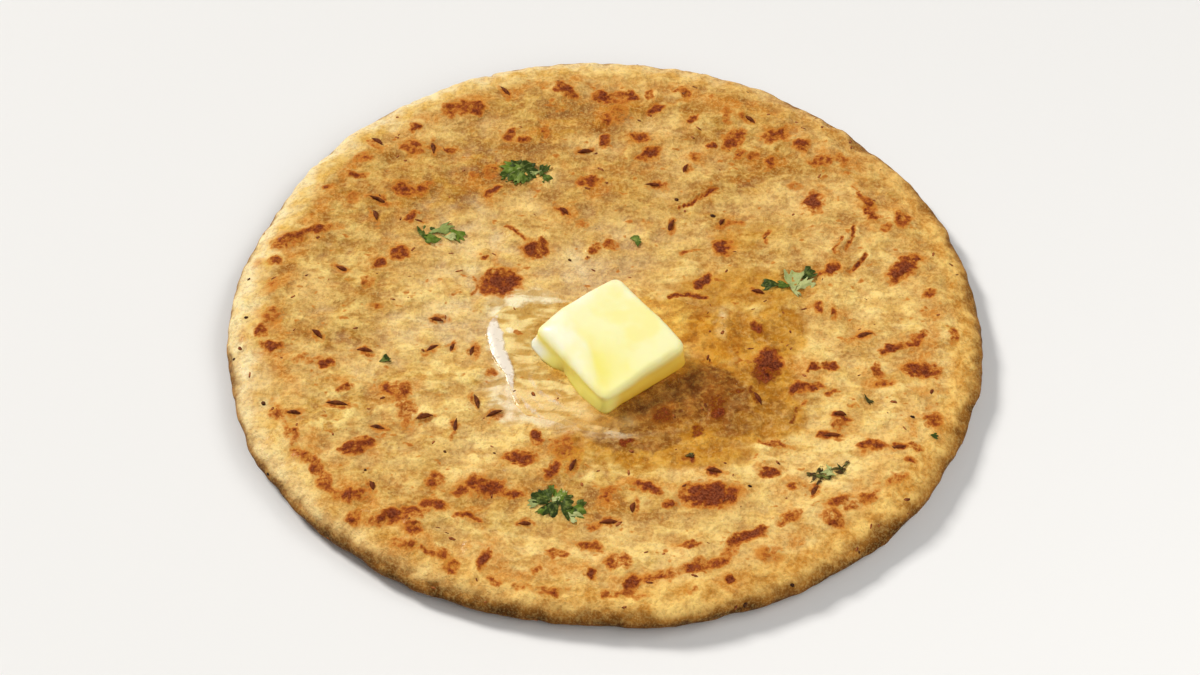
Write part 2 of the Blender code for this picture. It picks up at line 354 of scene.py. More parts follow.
# broad places where the dough is browner than the rest, with painted shade in them: x, y, length, width,
# turn, strength
brownerPlaces = (
    (-38, 50, 80, 34, 40, 0.9), (-5, 66, 62, 26, 0, 0.9), (-75, -4, 30, 50, 0, 0.4),
    (35, 68, 40, 20, -20, 0.4), (44, 44, 34, 24, -30, 0.5), (-10, -46, 12, 9, 0, 0.8),
    (12, 34, 30, 12, 20, 0.5), (-55, -62, 40, 18, -30, 0.5), (22, -66, 40, 14, 0, 0.4),
    (-44, 44, 20, 16, 20, 1.5), (-60, 32, 16, 10, -20, 1.4), (-56, 16, 12, 10, 0, 0.7),
    (-14, 66, 14, 10, 0, 1.5), (-2, 77, 34, 13, 0, 1.5), (0, 47, 14, 10, 0, 1.2), (8, 24, 10, 10, 0, 0.9),
    (-12, 10, 18, 8, 20, 0.8), (86, 14, 12, 22, 0, 0.6), (74, 34, 14, 12, 0, 0.6),
    (-86, 10, 14, 16, 0, 0.8), (58, 1, 8, 8, 0, 0.9), (65, -8, 12, 8, 0, 0.8), (80, -8, 12, 8, 0, 0.8),
    (-24, -63, 12, 10, 0, 1.1), (0, -63, 14, 10, 0, 1.3), (-63, -63, 14, 12, 0, 0.8),
    (-15, -56, 10, 9, 0, 0.9), (-9, -72, 14, 8, 0, 0.8), (32, -80, 12, 8, 0, 0.8),
    (48, -23, 14, 9, 0, 0.7), (-58, -40, 14, 8, 0, 0.7), (54, 76, 66, 26, -38, 0.8),
    (-88, -24, 10, 14, 0, 0.8), (-20, 56, 120, 66, 0, 0.7), (46, 46, 70, 66, -10, 0.6),
    (-52, 40, 12, 9, 0, 1.6), (-60, 32, 14, 9, 0, 1.5), (-4, 16, 24, 8, 0, 1.5), (-36, -6, 14, 9, 0, 1.0),
    (40, 50, 12, 9, 0, 1.2), (40, 16, 16, 8, 0, 0.9), (-56, -40, 10, 8, 0, 0.9),
    (-40, -48, 10, 7, 0, 0.9), (-16, -56, 10, 7, 0, 1.2),
)
# broad places where the dough is paler than the rest, with painted light on them, listed the same way
palerPlaces = (
    (-4, 20, 56, 30, 0, 0.8), (-38, -6, 30, 26, 0, 0.8), (62, -54, 96, 44, 42, 1.0),
    (4, -84, 130, 24, 0, 0.8), (78, 2, 26, 70, 0, 0.7), (60, 26, 24, 16, 0, 0.5),
    (56, -8, 10, 24, 0, 1.0), (46, -64, 60, 26, 30, 0.9), (20, 30, 16, 12, 0, 0.7),
    (-30, -40, 50, 24, 20, 0.7), (28, -74, 50, 18, 10, 0.5), (-30, -48, 30, 16, 0, 0.8),
    (-40, 28, 30, 18, 10, 1.1), (-47, 10, 18, 26, 0, 1.0), (-52, -6, 18, 18, 0, 1.0),
    (-60, -17, 18, 10, 0, 0.9), (54, 45, 28, 14, 10, 1.3), (62, 31, 16, 12, 0, 0.9),
    (20, 60, 18, 12, 0, 1.0), (0, 88, 40, 9, 0, 0.8), (-33, -55, 12, 9, 0, 1.3),
    (-64, -48, 14, 10, 0, 1.1), (4, -72, 16, 8, 0, 1.0), (0, 32, 14, 10, 0, 1.0),
    (88, -16, 9, 14, 0, 1.4), (28, -54, 20, 5, 0, 1.2), (66, -16, 8, 10, 0, 1.0),
    (-48, -32, 14, 10, 0, 0.9), (-52, 70, 22, 10, 20, 1.2), (-32, 70, 10, 8, 0, 1.0),
    (12, 72, 14, 8, 0, 1.3), (-4, 64, 14, 7, 0, 1.2), (-24, 40, 9, 9, 0, 1.4), (60, 68, 20, 10, -40, 1.0),
    (-79, 4, 9, 16, 0, 1.1), (-78, -22, 9, 16, 0, 1.0), (33, 0, 8, 9, 0, 0.9), (-16, 50, 9, 7, 0, 1.0),
    (74, -12, 12, 14, 0, 0.9), (16, 48, 8, 8, 0, 1.0),
)

# the soaked spots below and right of the butter, where its shadow falls, are also darkened as painted shade
wetSpots = (  # where melted butter has soaked in
    (14, -28, 36, 22, -16, 1.0), (10, -40, 34, 14, 0, 0.92), (27, -25, 24, 19, -20, 1.05),
    (33, -34, 24, 16, -10, 0.82), (44, -33, 17, 15, 0, 0.72), (39, -22, 20, 18, 0, 0.7),
    (47, -4, 14, 18, 0, 0.68), (35, -6, 14, 18, 0, 0.64), (27, -6, 12, 20, 0, 0.6),
    (36, 11, 40, 14, 6, 0.4), (18, -46, 40, 10, 0, 0.55), (-9, -46, 9, 7, 0, 0.5),
    (38, 30, 22, 10, 20, 0.3),
)

# where the crust is filmed over with cooling butter, pale and streaky, the streaks painted also as the
# reflection on it
filmSpots = (
    (-22, -12, 13, 34, 12, 0.95), (-14, -29, 28, 15, -24, 0.9), (-20, 3, 20, 12, 0, 0.8),
    (-2, -37, 22, 9, -10, 0.7), (25, -9, 8, 12, 0, 0.3), (31, -3, 3, 12, 0, 0.5),
    (-24, -31, 9, 14, 0, 0.8),
)

# where the melted butter has turned milky, painted pale also as the bright reflection on it: points, width,
# strength
milkTrails = (
    (((-24, -26), (-18, -28.5), (-12, -31), (-5, -33)), 7.0, 0.72),
    (((-23, -31), (-17, -34), (-10, -36.5), (-2, -38)), 5.0, 0.62),
    (((-25, -24), (-24.5, -29), (-24, -35)), 4.0, 0.75),
    (((-23, -8), (-22.5, -13), (-20, -18)), 4.0, 0.3),
    (((29, -1), (30.5, -5)), 2.4, 0.45),
    (((33, -10), (33, -15)), 2.0, 0.45),
)


def edgeReach(turn):
    # how far the edge stands out from the mean radius at a turn round the bread
    waves = sum(height * np.cos(count * (turn - math.radians(crest)))
                for count, height, crest in bread["edgeWaves"])
    nicks = 0.0
    for crest, depth, width in bread["edgeNicks"]:
        off = (np.degrees(turn) % 360.0 - crest) / width
        nicks = nicks + depth * np.exp(-off * off * 4.0) * np.where(off < 0.0, 1.0, 0.55)
    return waves, nicks


def breadRings():
    # one row a ring: vertices round, radius, height, outward share, upward share
    inner = bread["radius"] - bread["rimFall"]
    drop = bread["thickness"] - bread["rimMiddle"]
    rings = [(1, 0.0, bread["thickness"], 0.0, 1.0)]
    rings += [(6 * k, inner * k / bread["topRings"], bread["thickness"], 0.0, 1.0)
              for k in range(1, bread["topRings"] + 1)]
    around = 6 * bread["topRings"]
    for k in range(1, bread["rimRings"] + 1):
        lean = math.radians(90.0 * k / bread["rimRings"])
        out, up = math.sin(lean) / bread["rimFall"], math.cos(lean) / drop
        rings.append((around, inner + bread["rimFall"] * math.sin(lean),
                      bread["rimMiddle"] + drop * math.cos(lean),
                      out / math.hypot(out, up), up / math.hypot(out, up)))
    foot = bread["radius"] - bread["footInset"]
    for k in range(1, bread["footRings"] + 1):
        lean = math.radians(90.0 * k / bread["footRings"])
        out, up = math.cos(lean) / bread["footInset"], -math.sin(lean) / bread["rimMiddle"]
        rings.append((around, foot + bread["footInset"] * math.cos(lean),
                      bread["rimMiddle"] * (1.0 - math.sin(lean)),
                      out / math.hypot(out, up), up / math.hypot(out, up)))
    seam = len(rings) - 1
    for k in range(bread["underRings"] - 1, 0, -1):
        rings.append((6 * k, foot * k / bread["underRings"], 0.0, 0.0, -1.0))
    rings.append((1, 0.0, 0.0, 0.0, -1.0))
    return rings, seam


def breadCentreShift():
    # the outline is drawn about its mean circle, and this brings the middle of its box
    # onto the origin, as the part has it
    turn = np.linspace(0.0, math.tau, 720, endpoint=False)
    reach = bread["radius"] + edgeReach(turn)[0]
    x, y = reach * np.cos(turn), reach * np.sin(turn)
    return np.array((-(x.min() + x.max()) / 2, -(y.min() + y.max()) / 2, 0.0))


shift = breadCentreShift()
patMiddle = np.array((1.6, -13.4))   # the middle of the butter's foot


def seatShare(flat):
    # 1 under the butter, where the bread is even, and 0 away from it
    return 1.0 - easeStep(19.0, 27.0, np.hypot(flat[:, 0] - patMiddle[0], flat[:, 1] - patMiddle[1]))


def broadRelief(flat):
    # the top's lumps and its shallow dish, as heights above the even top
    deep = np.column_stack((flat, np.full(len(flat), bread["thickness"])))
    lumps = (0.6 * hills(deep, 26.0, 1) + 0.5 * hills(deep, 12.0, 2)) * (1.0 - 0.75 * seatShare(flat))
    dish = bread["dishDepth"] * (1.0 - easeStep(0.0, bread["dishRadius"], np.hypot(flat[:, 0], flat[:, 1])))
    return lumps - dish


def bendPlaces(flat, seed):
    # the places moved about a little at random, so that spots drawn on them get ragged edges
    deep = np.column_stack((flat, np.zeros(len(flat))))
    push = [1.25 * hills(deep, 3.9, seed + i) + 0.85 * hills(deep, 1.9, seed + 5 + i) for i in (0, 1)]
    return flat + np.column_stack(push)


def laid(spots):
    # where the listed spots or points lie on the top
    return np.array([spot[:2] for spot in spots], float) + bread["laidShift"]


def raggedSpots(flat, spots, seed, soft=1.0):
    # spots drawn on the bent places, with their middles bent too, so that those stay where they are
    middles = bendPlaces(laid(spots), seed)
    moved = [(*middle, *spot[2:]) for middle, spot in zip(middles, spots)]
    return spotField(bendPlaces(flat, seed), moved, soft)


def makeBread():
    rings, seam = breadRings()
    rows = []
    for index, (count, radius, height, out, up) in enumerate(rings):
        turn = np.arange(count) * (math.tau / count)
        waves, nicks = edgeReach(turn)
        lean = (radius / bread["radius"]) ** 3
        reach = radius + lean * waves - nicks * lean ** 4 * (1.0 if index <= seam else 0.0)
        rows.append(np.column_stack((reach * np.cos(turn), reach * np.sin(turn), np.full(count, height),
                                     out * np.cos(turn), out * np.sin(turn), np.full(count, up),
                                     np.full(count, index > seam))))
    rows = np.concatenate(rows)
    places, outward, under = rows[:, :3], rows[:, 3:6], rows[:, 6]
    flat = places[:, :2]
    radius = np.hypot(flat[:, 0], flat[:, 1])
    turn = np.arctan2(flat[:, 1], flat[:, 0])
    top = np.clip(outward[:, 2], 0.0, 1.0)

    onTop = under < 0.5
    seed = bread["bendSeed"]
    bent = bendPlaces(flat, seed)
    toast = raggedSpots(flat, toastedMarks, seed)
    for trail, width, depth in toastedTrails:
        away, _ = trailDistance(bent, bendPlaces(laid(trail), seed))
        depth = depth * np.clip(0.8 + 1.0 * hills(places, 6.0, 17), 0.25, 1.15)
        toast = np.maximum(toast, depth * (1.0 - easeStep(0.25, 1.7, away * 2.0 / width)))
    blister = spotField(flat, [(x, y, length + 3, width + 3, spin, depth)
                               for (x, y), (_, _, length, width, spin, depth)
                               in zip(laid(toastedMarks), toastedMarks)])
    glow = raggedSpots(flat, [(x, y, length + 6, width + 6, spin, 0.35 + 0.5 * depth)
                              for x, y, length, width, spin, depth in toastedMarks], 44, 1.4)
    glow = np.maximum(glow, 0.8 * np.exp(-((radius - 87.5) / 4.5) ** 2)) * onTop
    toast *= onTop * easeStep(0.0, 0.35, outward[:, 2])
    wet = raggedSpots(flat, wetSpots, 60, 0.7) * onTop
    film = raggedSpots(flat, filmSpots, 64, 0.9) * onTop
    # browner dough with painted shade, and paler dough with painted light
    brown = raggedSpots(flat, brownerPlaces, seed, 1.7) * onTop
    light = raggedSpots(flat, palerPlaces, seed, 1.7) * onTop

    milk = np.zeros(len(places))
    for trail, width, depth in milkTrails:
        away, _ = trailDistance(bent, bendPlaces(laid(trail), seed))
        milk = np.maximum(milk, depth * np.exp(-(away * 2.0 / width) ** 2) * onTop)

    # the skin's relief: broad lumps, then soft puffs with a few sharp creases, then grain
    vary = 0.75 + 0.6 * hills(places, 21.0, 16)
    puffs = vary * (0.56 * hills(places, 8.0, 3) + 0.46 * hills(places, 4.2, 4))
    puffs = puffs + 0.55 * (np.abs(hills(places, 10.0, 14)) - 0.28)
    grain = 0.28 * hills(places, 2.5, 5) + 0.08 * hills(places, 1.5, 6)
    small = (1.12 * puffs + grain) * (1.0 - 0.4 * seatShare(flat))
    relief = broadRelief(flat) + small * (1.0 - 0.55 * wet) * (1.0 - 0.4 * film)
    relief += 0.34 * blister - 0.12
    relief += 0.35 * np.exp(-((radius - 85.0) / 5.0) ** 2)
    crease = np.zeros(len(places))
    for trail, depth in folds:
        away, side = trailDistance(flat + 0.4 * (bent - flat), laid(trail))
        lip = 0.5 * np.exp(-((side - 1.1) / 0.8) ** 2 - (away / 2.2) ** 2)
        relief += depth * (lip - 0.45 * np.exp(-(away / 0.55) ** 2))
        crease = np.maximum(crease, 1.1 * depth * (1.0 - easeStep(0.15, 0.85, away)))
    rimPuffs = 0.4 * hills(places, 6.5, 8) + 0.34 * hills(places, 4.0, 15) + 0.1 * hills(places, 2.2, 9)
    rimLumps = 0.35 * hills(places, 13.0, 7) + rimPuffs
    underRelief = -0.12 + 0.14 * hills(places, 16.0, 10) + 0.08 * hills(places, 4.0, 11)
    height = np.where(under > 0.5, np.minimum(underRelief, 0.0), top * relief + (1.0 - top) * rimLumps)
    height *= np.where(under > 0.5, easeStep(94.0, 88.0, radius), easeStep(-1.0, -0.6, outward[:, 2]))
    places = places + outward * height[:, None]

    seeded = [(x, y, length + 1.6, 2.6, spin, 0.42) for x, y, length, spin in cuminSeeds]
    toast = np.maximum(toast, raggedSpots(flat, seeded, seed) * onTop)
    edge = bread["radius"] - 9.5 + 1.6 * np.cos(turn - math.radians(20.0)) + 1.2 * hills(places, 9.0, 12)
    rim = easeStep(edge - 1.5, edge + 2.5, radius)
    # the rim's side facing the key lamp is painted lighter: painted light
    pale = (0.5 + 0.5 * np.cos(turn - math.radians(149.0))) ** 2.2
    # darker towards the bottom of the rim, browning with painted shade, starting lower on the lit side; on
    # the underside, darker towards the edge
    low = easeStep(8.4 - 2.0 * pale, 2.2, places[:, 2] + 0.9 * rimPuffs + 0.3 * hills(places, 6.0, 13))
    low = np.where(onTop, low, easeStep(83.0, 96.0, radius + 3.0 * hills(places, 10.0, 14)))
    # a painted highlight along the rim's upper edge on the lit side
    crown = pale * easeStep(8.5, 7.0, places[:, 2]) * onTop
    # painted light and shade that follow the relief: paler on the lumps' tops, darker in the hollows
    lump = np.where(rim > 0.5, 0.5 + 0.9 * rimPuffs, 0.5 + 0.8 * small)
    piece = meshPiece("paratha_crust", places + shift, stitchAll([ring[0] for ring in rings]))
    storeNumbers(piece, toast=np.maximum(toast, crease), wet=wet, rim=rim * onTop, pale=pale,
                 under=under, glow=glow, low=low, brown=brown, light=light, milk=milk, film=film,
                 crown=crown, lump=np.clip(lump, 0.0, 1.0))
    unwrapBread(piece, rings, seam)
    return piece


def unwrapBread(piece, rings, seam):
    # the top and rim as one disc, and the underside as a smaller one in the opposite corner of the map
    counts = [ring[0] for ring in rings]
    ringOf = np.repeat(np.arange(len(rings)), counts)
    spin = np.concatenate([np.arange(count) * (math.tau / count) for count in counts])
    steps = [math.hypot(b[1] - a[1], b[2] - a[2]) for a, b in zip(rings, rings[1:])]
    way = np.concatenate(((0.0,), np.cumsum(steps)))
    corners = np.empty(len(piece.data.loops), int)
    piece.data.loops.foreach_get("vertex_index", corners)
    ringCorners = ringOf[corners].reshape(-1, 3)
    below = np.repeat(ringCorners.max(1) > seam, 3)
    reach = np.where(below, 0.17 * (way[-1] - way[ringOf[corners]]) / (way[-1] - way[seam]),
                     0.40 * way[ringOf[corners]] / way[seam])
    middle = np.where(below, 0.82, 0.41)
    mapped = np.column_stack((middle + reach * np.cos(spin[corners]), middle + reach * np.sin(spin[corners])))
    layer = piece.data.uv_layers.new(name="OFBake")
    layer.data.foreach_set("uv", mapped.astype(np.float32).ravel())


def crustMaterial():
    s = Shader("toastedDough")
    toast, wet, rim, pale, under = (s.field(name) for name in ("toast", "wet", "rim", "pale", "under"))
    glow, low, lump, brown, light = (s.field(name) for name in ("glow", "low", "lump", "brown", "light"))
    milk, film, crown = s.field("milk"), s.field("film"), s.field("crown")
    broad = s.noise(26, 2, 0.5).step(0.36, 0.64)
    cream = s.noise(6.5, 2, 0.5, shift=4.0, warp=0.3).step(0.44, 0.66)
    olive = s.noise(8.0, 2, 0.5, shift=15.0, warp=0.3).step(0.46, 0.66)
    tan = s.noise(7.0, 2, 0.5, shift=23.0, warp=0.3).step(0.46, 0.68)
    mottle = s.noise(3.4, 2, 0.5, shift=9.0, warp=0.3).step(0.32, 0.68)
    drift = s.noise(3.6, 2, 0.5, shift=61.0, stretch=(2.2, 0.8, 1.0), warp=0.4).step(0.38, 0.62)
    chips = s.noise(1.9, 2, 0.5, shift=41.0).step(0.34, 0.66)
    grain = s.noise(1.1, 2, 0.6, shift=2.0).step(0.34, 0.66)
    fine = s.noise(0.55, 1, 0.5, shift=7.0).step(0.34, 0.66)

    # the plain dough: golden, with olive translucent parts, cream puffs whose tops carry painted light, and
    # brown hollows that carry painted shade
    colour = s.blend(broad, paint(222, 172, 79), paint(231, 187, 91))
    colour = s.blend(olive * 0.85, colour, paint(200, 154, 52))
    colour = s.blend(tan * 0.72, colour, paint(212, 146, 66))
    patch = s.noise(13, 2, 0.5, shift=33.0).step(0.34, 0.66)
    colour = s.blend((1.0 - patch) * 0.34, colour, paint(216, 178, 104), "MULTIPLY")
    blotch = s.noise(5.2, 2, 0.45, shift=91.0, stretch=(1.3, 0.85, 1.0), warp=0.3)
    colour = s.blend(blotch.step(0.5, 0.66) * 0.66, colour, paint(253, 229, 152))
    colour = s.blend(blotch.step(0.5, 0.34) * (0.54 + 0.36 * brown).clamp(), colour, paint(178, 120, 34))
    puff = lump * 0.62 + mottle * 0.38
    # painted shade in the hollows between the puffs
    colour = s.blend(puff.step(0.5, 0.18) * 0.9, colour, paint(168, 102, 24))
    # painted light on the puffs' tops, where the cream noise allows
    creamy = (puff.step(0.46, 0.76) * (0.5 + 0.7 * cream) * (1.0 - 0.35 * brown)).clamp()
    colour = s.blend(creamy, colour, paint(255, 229, 144))
    flour = drift.step(0.55, 0.95) * 0.34 * (0.4 + 0.6 * light).clamp()
    colour = s.blend(flour, colour, paint(255, 236, 168))
    colour = s.blend(drift.step(0.45, 0.05) * 0.4, colour, paint(172, 114, 34))
    # browner dough with painted shade, then paler dough with painted light
    colour = s.blend((brown * (0.8 + 0.34 * broad)).clamp(), colour, paint(200, 156, 62), "MULTIPLY")
    colour = s.blend((light * (0.34 + 0.34 * cream)).clamp(), colour, paint(255, 216, 138))
    colour = s.blend(patch * 0.14, colour, paint(252, 218, 132))

    # the rim, which saw less heat: painted light on the side the key lamp lights, with a painted highlight
    # along its crown there, painted shade along its back, and browning with painted shade towards its foot;
    # and the orange blush round what was toasted
    scorch = s.noise(4.6, 2, 0.5, shift=81.0, stretch=(1.3, 0.9, 1.0), warp=0.3).step(0.55, 0.72)
    scorch = scorch * (0.25 + brown).clamp()
    colour = s.blend(scorch * 0.44, colour, paint(204, 124, 44))
    # the rim's tones: painted light on the side the key lamp lights, painted shade away from it
    rimTone = s.blend(pale, paint(210, 142, 50), paint(238, 194, 98))
    rimLight = s.blend(pale, paint(255, 210, 118), paint(255, 233, 164))
    colour = s.blend(rim * 0.94, colour, s.blend(puff.step(0.15, 0.85), rimTone, rimLight))
    # painted shade on the rim where the browner places reach it, along the back
    colour = s.blend((rim * brown * 0.7).clamp(), colour, paint(204, 170, 118), "MULTIPLY")
    # a painted highlight on the rim's crown on the lit side
    colour = s.blend(crown * (0.35 + 0.4 * puff), colour, paint(255, 245, 206))
    blush = (glow * (0.5 + 0.6 * tan) * (0.6 + 0.8 * mottle)).step(0.15, 0.85)
    colour = s.blend(blush * 0.74, colour, paint(208, 130, 42))
    # browning with painted shade towards the rim's foot
    lowTone = s.blend(puff.step(0.2, 0.8), paint(106, 54, 2), paint(172, 106, 24))
    colour = s.blend(low.step(0.0, 0.4) * 0.85, colour, lowTone)
    footTone = s.blend(puff.step(0.2, 0.8), paint(58, 26, 0), paint(108, 58, 10))
    colour = s.blend(low.step(0.3, 0.85) * 0.9, colour, footTone)
    colour = s.blend(grain.step(0.5, 1.0) * 0.24 * (1.0 - 0.8 * low), colour, paint(252, 214, 128))
    colour = s.blend(grain.step(0.5, 0.0) * 0.27, colour, paint(146, 94, 28))
    colour = s.blend(fine.step(0.6, 1.0) * 0.12, colour, paint(252, 220, 140))
    streaky = (drift * 0.45 + puff * 0.4 + chips * 0.15).step(0.2, 0.8)
    # cooling butter film whose pale streaks are also a painted reflection
    filmTone = s.blend(streaky, paint(206, 170, 108), paint(254, 242, 204))
    colour = s.blend(film.step(0.05, 0.7) * 0.85, colour, filmTone)
    # soaked crust, golden where thin and deep brown where soaked most; the deepest is painted shade too
    thin = s.blend(puff.step(0.15, 0.85), paint(178, 112, 14), paint(220, 158, 48))
    deep = s.blend(puff.step(0.2, 0.9), paint(102, 44, 0), paint(158, 86, 8))
    soaked = (wet + (broad - 0.5) * 0.16 + (mottle - 0.5) * 0.16).step(0.66, 1.0)
    colour = s.blend(wet.step(0.05, 0.55) * 0.84 * (1.0 - 0.6 * film), colour, s.blend(soaked, thin, deep))
    # painted glints: pale specks scattered on the wet crust
    sparkle = s.noise(1.9, 2, 0.6, shift=71.0, stretch=(0.9, 1.3, 1.0)).step(0.54, 0.72) * wet.step(0.2, 0.6)
    colour = s.blend(sparkle * 0.4 * (0.2 + 0.8 * drift) * (1.0 - 0.5 * soaked), colour, paint(240, 198, 128))
    colour = s.blend((grain - 0.5).clamp() * wet.step(0.2, 0.6) * 0.5, colour, paint(232, 184, 100))
    colour = s.blend(chips.step(0.4, 0.0) * wet.step(0.2, 0.6) * 0.3, colour, paint(92, 40, 0))

    # toasting, which the noise breaks up a little
    toasted = (toast * (0.56 + 0.45 * mottle + 0.4 * chips) + (grain - 0.5) * 0.3 * toast.step(0.04, 0.4)
               + (fine - 0.5) * 0.16 * toast.step(0.1, 0.6))
    freckle = s.noise(2.6, 2, 0.5, shift=51.0, stretch=(1.4, 1.0, 1.0)).step(0.62, 0.76)
    freckle = freckle * (1.0 - rim) * 0.42
    below = under * (s.noise(17, 3, 0.6, shift=21.0).step(0.42, 0.7) * 0.75 + (grain - 0.5) * 0.3)
    toasted = toasted.join("MAXIMUM", below).join("MAXIMUM", freckle)
    drenched = wet.step(0.3, 0.8)
    edged = s.blend(drenched, paint(206, 130, 46), paint(146, 82, 8))
    browned = s.blend(drenched, s.blend(fine, paint(158, 80, 18), paint(188, 106, 36)), paint(112, 50, 4))
    dryCore = s.blend(fine, paint(98, 40, 20), paint(138, 72, 42))
    core = s.blend(drenched, dryCore, s.blend(fine, paint(62, 16, 0), paint(112, 44, 8)))
    deepBrown = s.blend(fine, paint(106, 38, 12), paint(150, 70, 28))
    colour = s.blend(toasted.step(0.08, 0.34) * 0.75, colour, edged)
    colour = s.blend(toasted.step(0.26, 0.52) * 0.85, colour, browned)
    colour = s.blend(toasted.step(0.46, 0.74) * 0.94, colour, deepBrown)
    colour = s.blend(toasted.step(0.74, 1.0) * 0.9, colour, core)

    gleam = s.noise(1.5, 1, 0.5, shift=101.0).step(0.62, 0.7)
    gleam = gleam * (0.25 + 0.75 * wet.step(0.1, 0.5)) * (1.0 - rim)
    # milky butter on the crust, painted pale also as the bright reflection on it
    milky = (milk * (0.7 + 0.7 * drift) - (1.0 - mottle) * 0.1).clamp()
    milkTone = s.blend(milk.step(0.3, 0.8), paint(232, 192, 136), paint(250, 228, 190))
    colour = s.blend(milky.step(0.0, 0.8) * 0.85, colour, milkTone)

    heights = mottle * 0.22 + chips * 0.18 + grain * 0.16 + fine * 0.05
    normal = s.bump(heights, 0.8, 0.9)
    rough = 0.66 - wet * 0.32 + (grain - 0.5) * 0.12
    return s.finish(s.principled({
        "Base Color": colour, "Roughness": rough.clamp(), "Normal": normal,
        "Coat Weight": (wet.step(0.1, 0.6) * mottle.step(0.55, 0.95) * 0.45 + gleam * 0.4 + 0.02).clamp(),
        "Coat Roughness": 0.08, "Coat IOR": 1.45,
        "Specular IOR Level": 0.06, "Subsurface Weight": 0.1, "Subsurface Radius": (0.004, 0.002, 0.0008),
        "Subsurface Scale": 0.5}))


butter = {
    # the top's corners, and how far the foot has spread beyond each wall as (place along it, spread)
    "corners": ((2.7, 7.6), (21.7, -16.6), (0.2, -34.4), (-18.8, -10.4)),
    "top": 16.0,
    "squareness": 12.0,
    "edgeRound": 1.5,
    "meltedInset": 6.0,       # how far in and how far down the edge that has melted most is rounded
    "meltedDrop": 3.6,
    "frontSpread": ((-1.0, 0.6), (-0.8, 1.5), (-0.5, 1.8), (-0.3, 1.2), (-0.14, -0.4), (0.06, 0.3),
                    (0.4, 1.2), (1.0, 0.5)),
    "slump": 2.2,             # how far the near corner has sagged
    "half": 14.0,             # half its side
    "spokes": 240,
    "wallRows": 15,
    "bevelRows": 10,
    "topRows": 26,
}


def butterPlace(u, v, corners):
    # a place of the unit square, from -1 to 1 each way, on the butter's own four corners
    back, right, front, left = (np.array(corner) for corner in corners)
    a, b = ((1 + u) / 2)[:, None], ((1 + v) / 2)[:, None]
    return (left * (1 - a) + front * a) * (1 - b) + (back * (1 - a) + right * a) * b


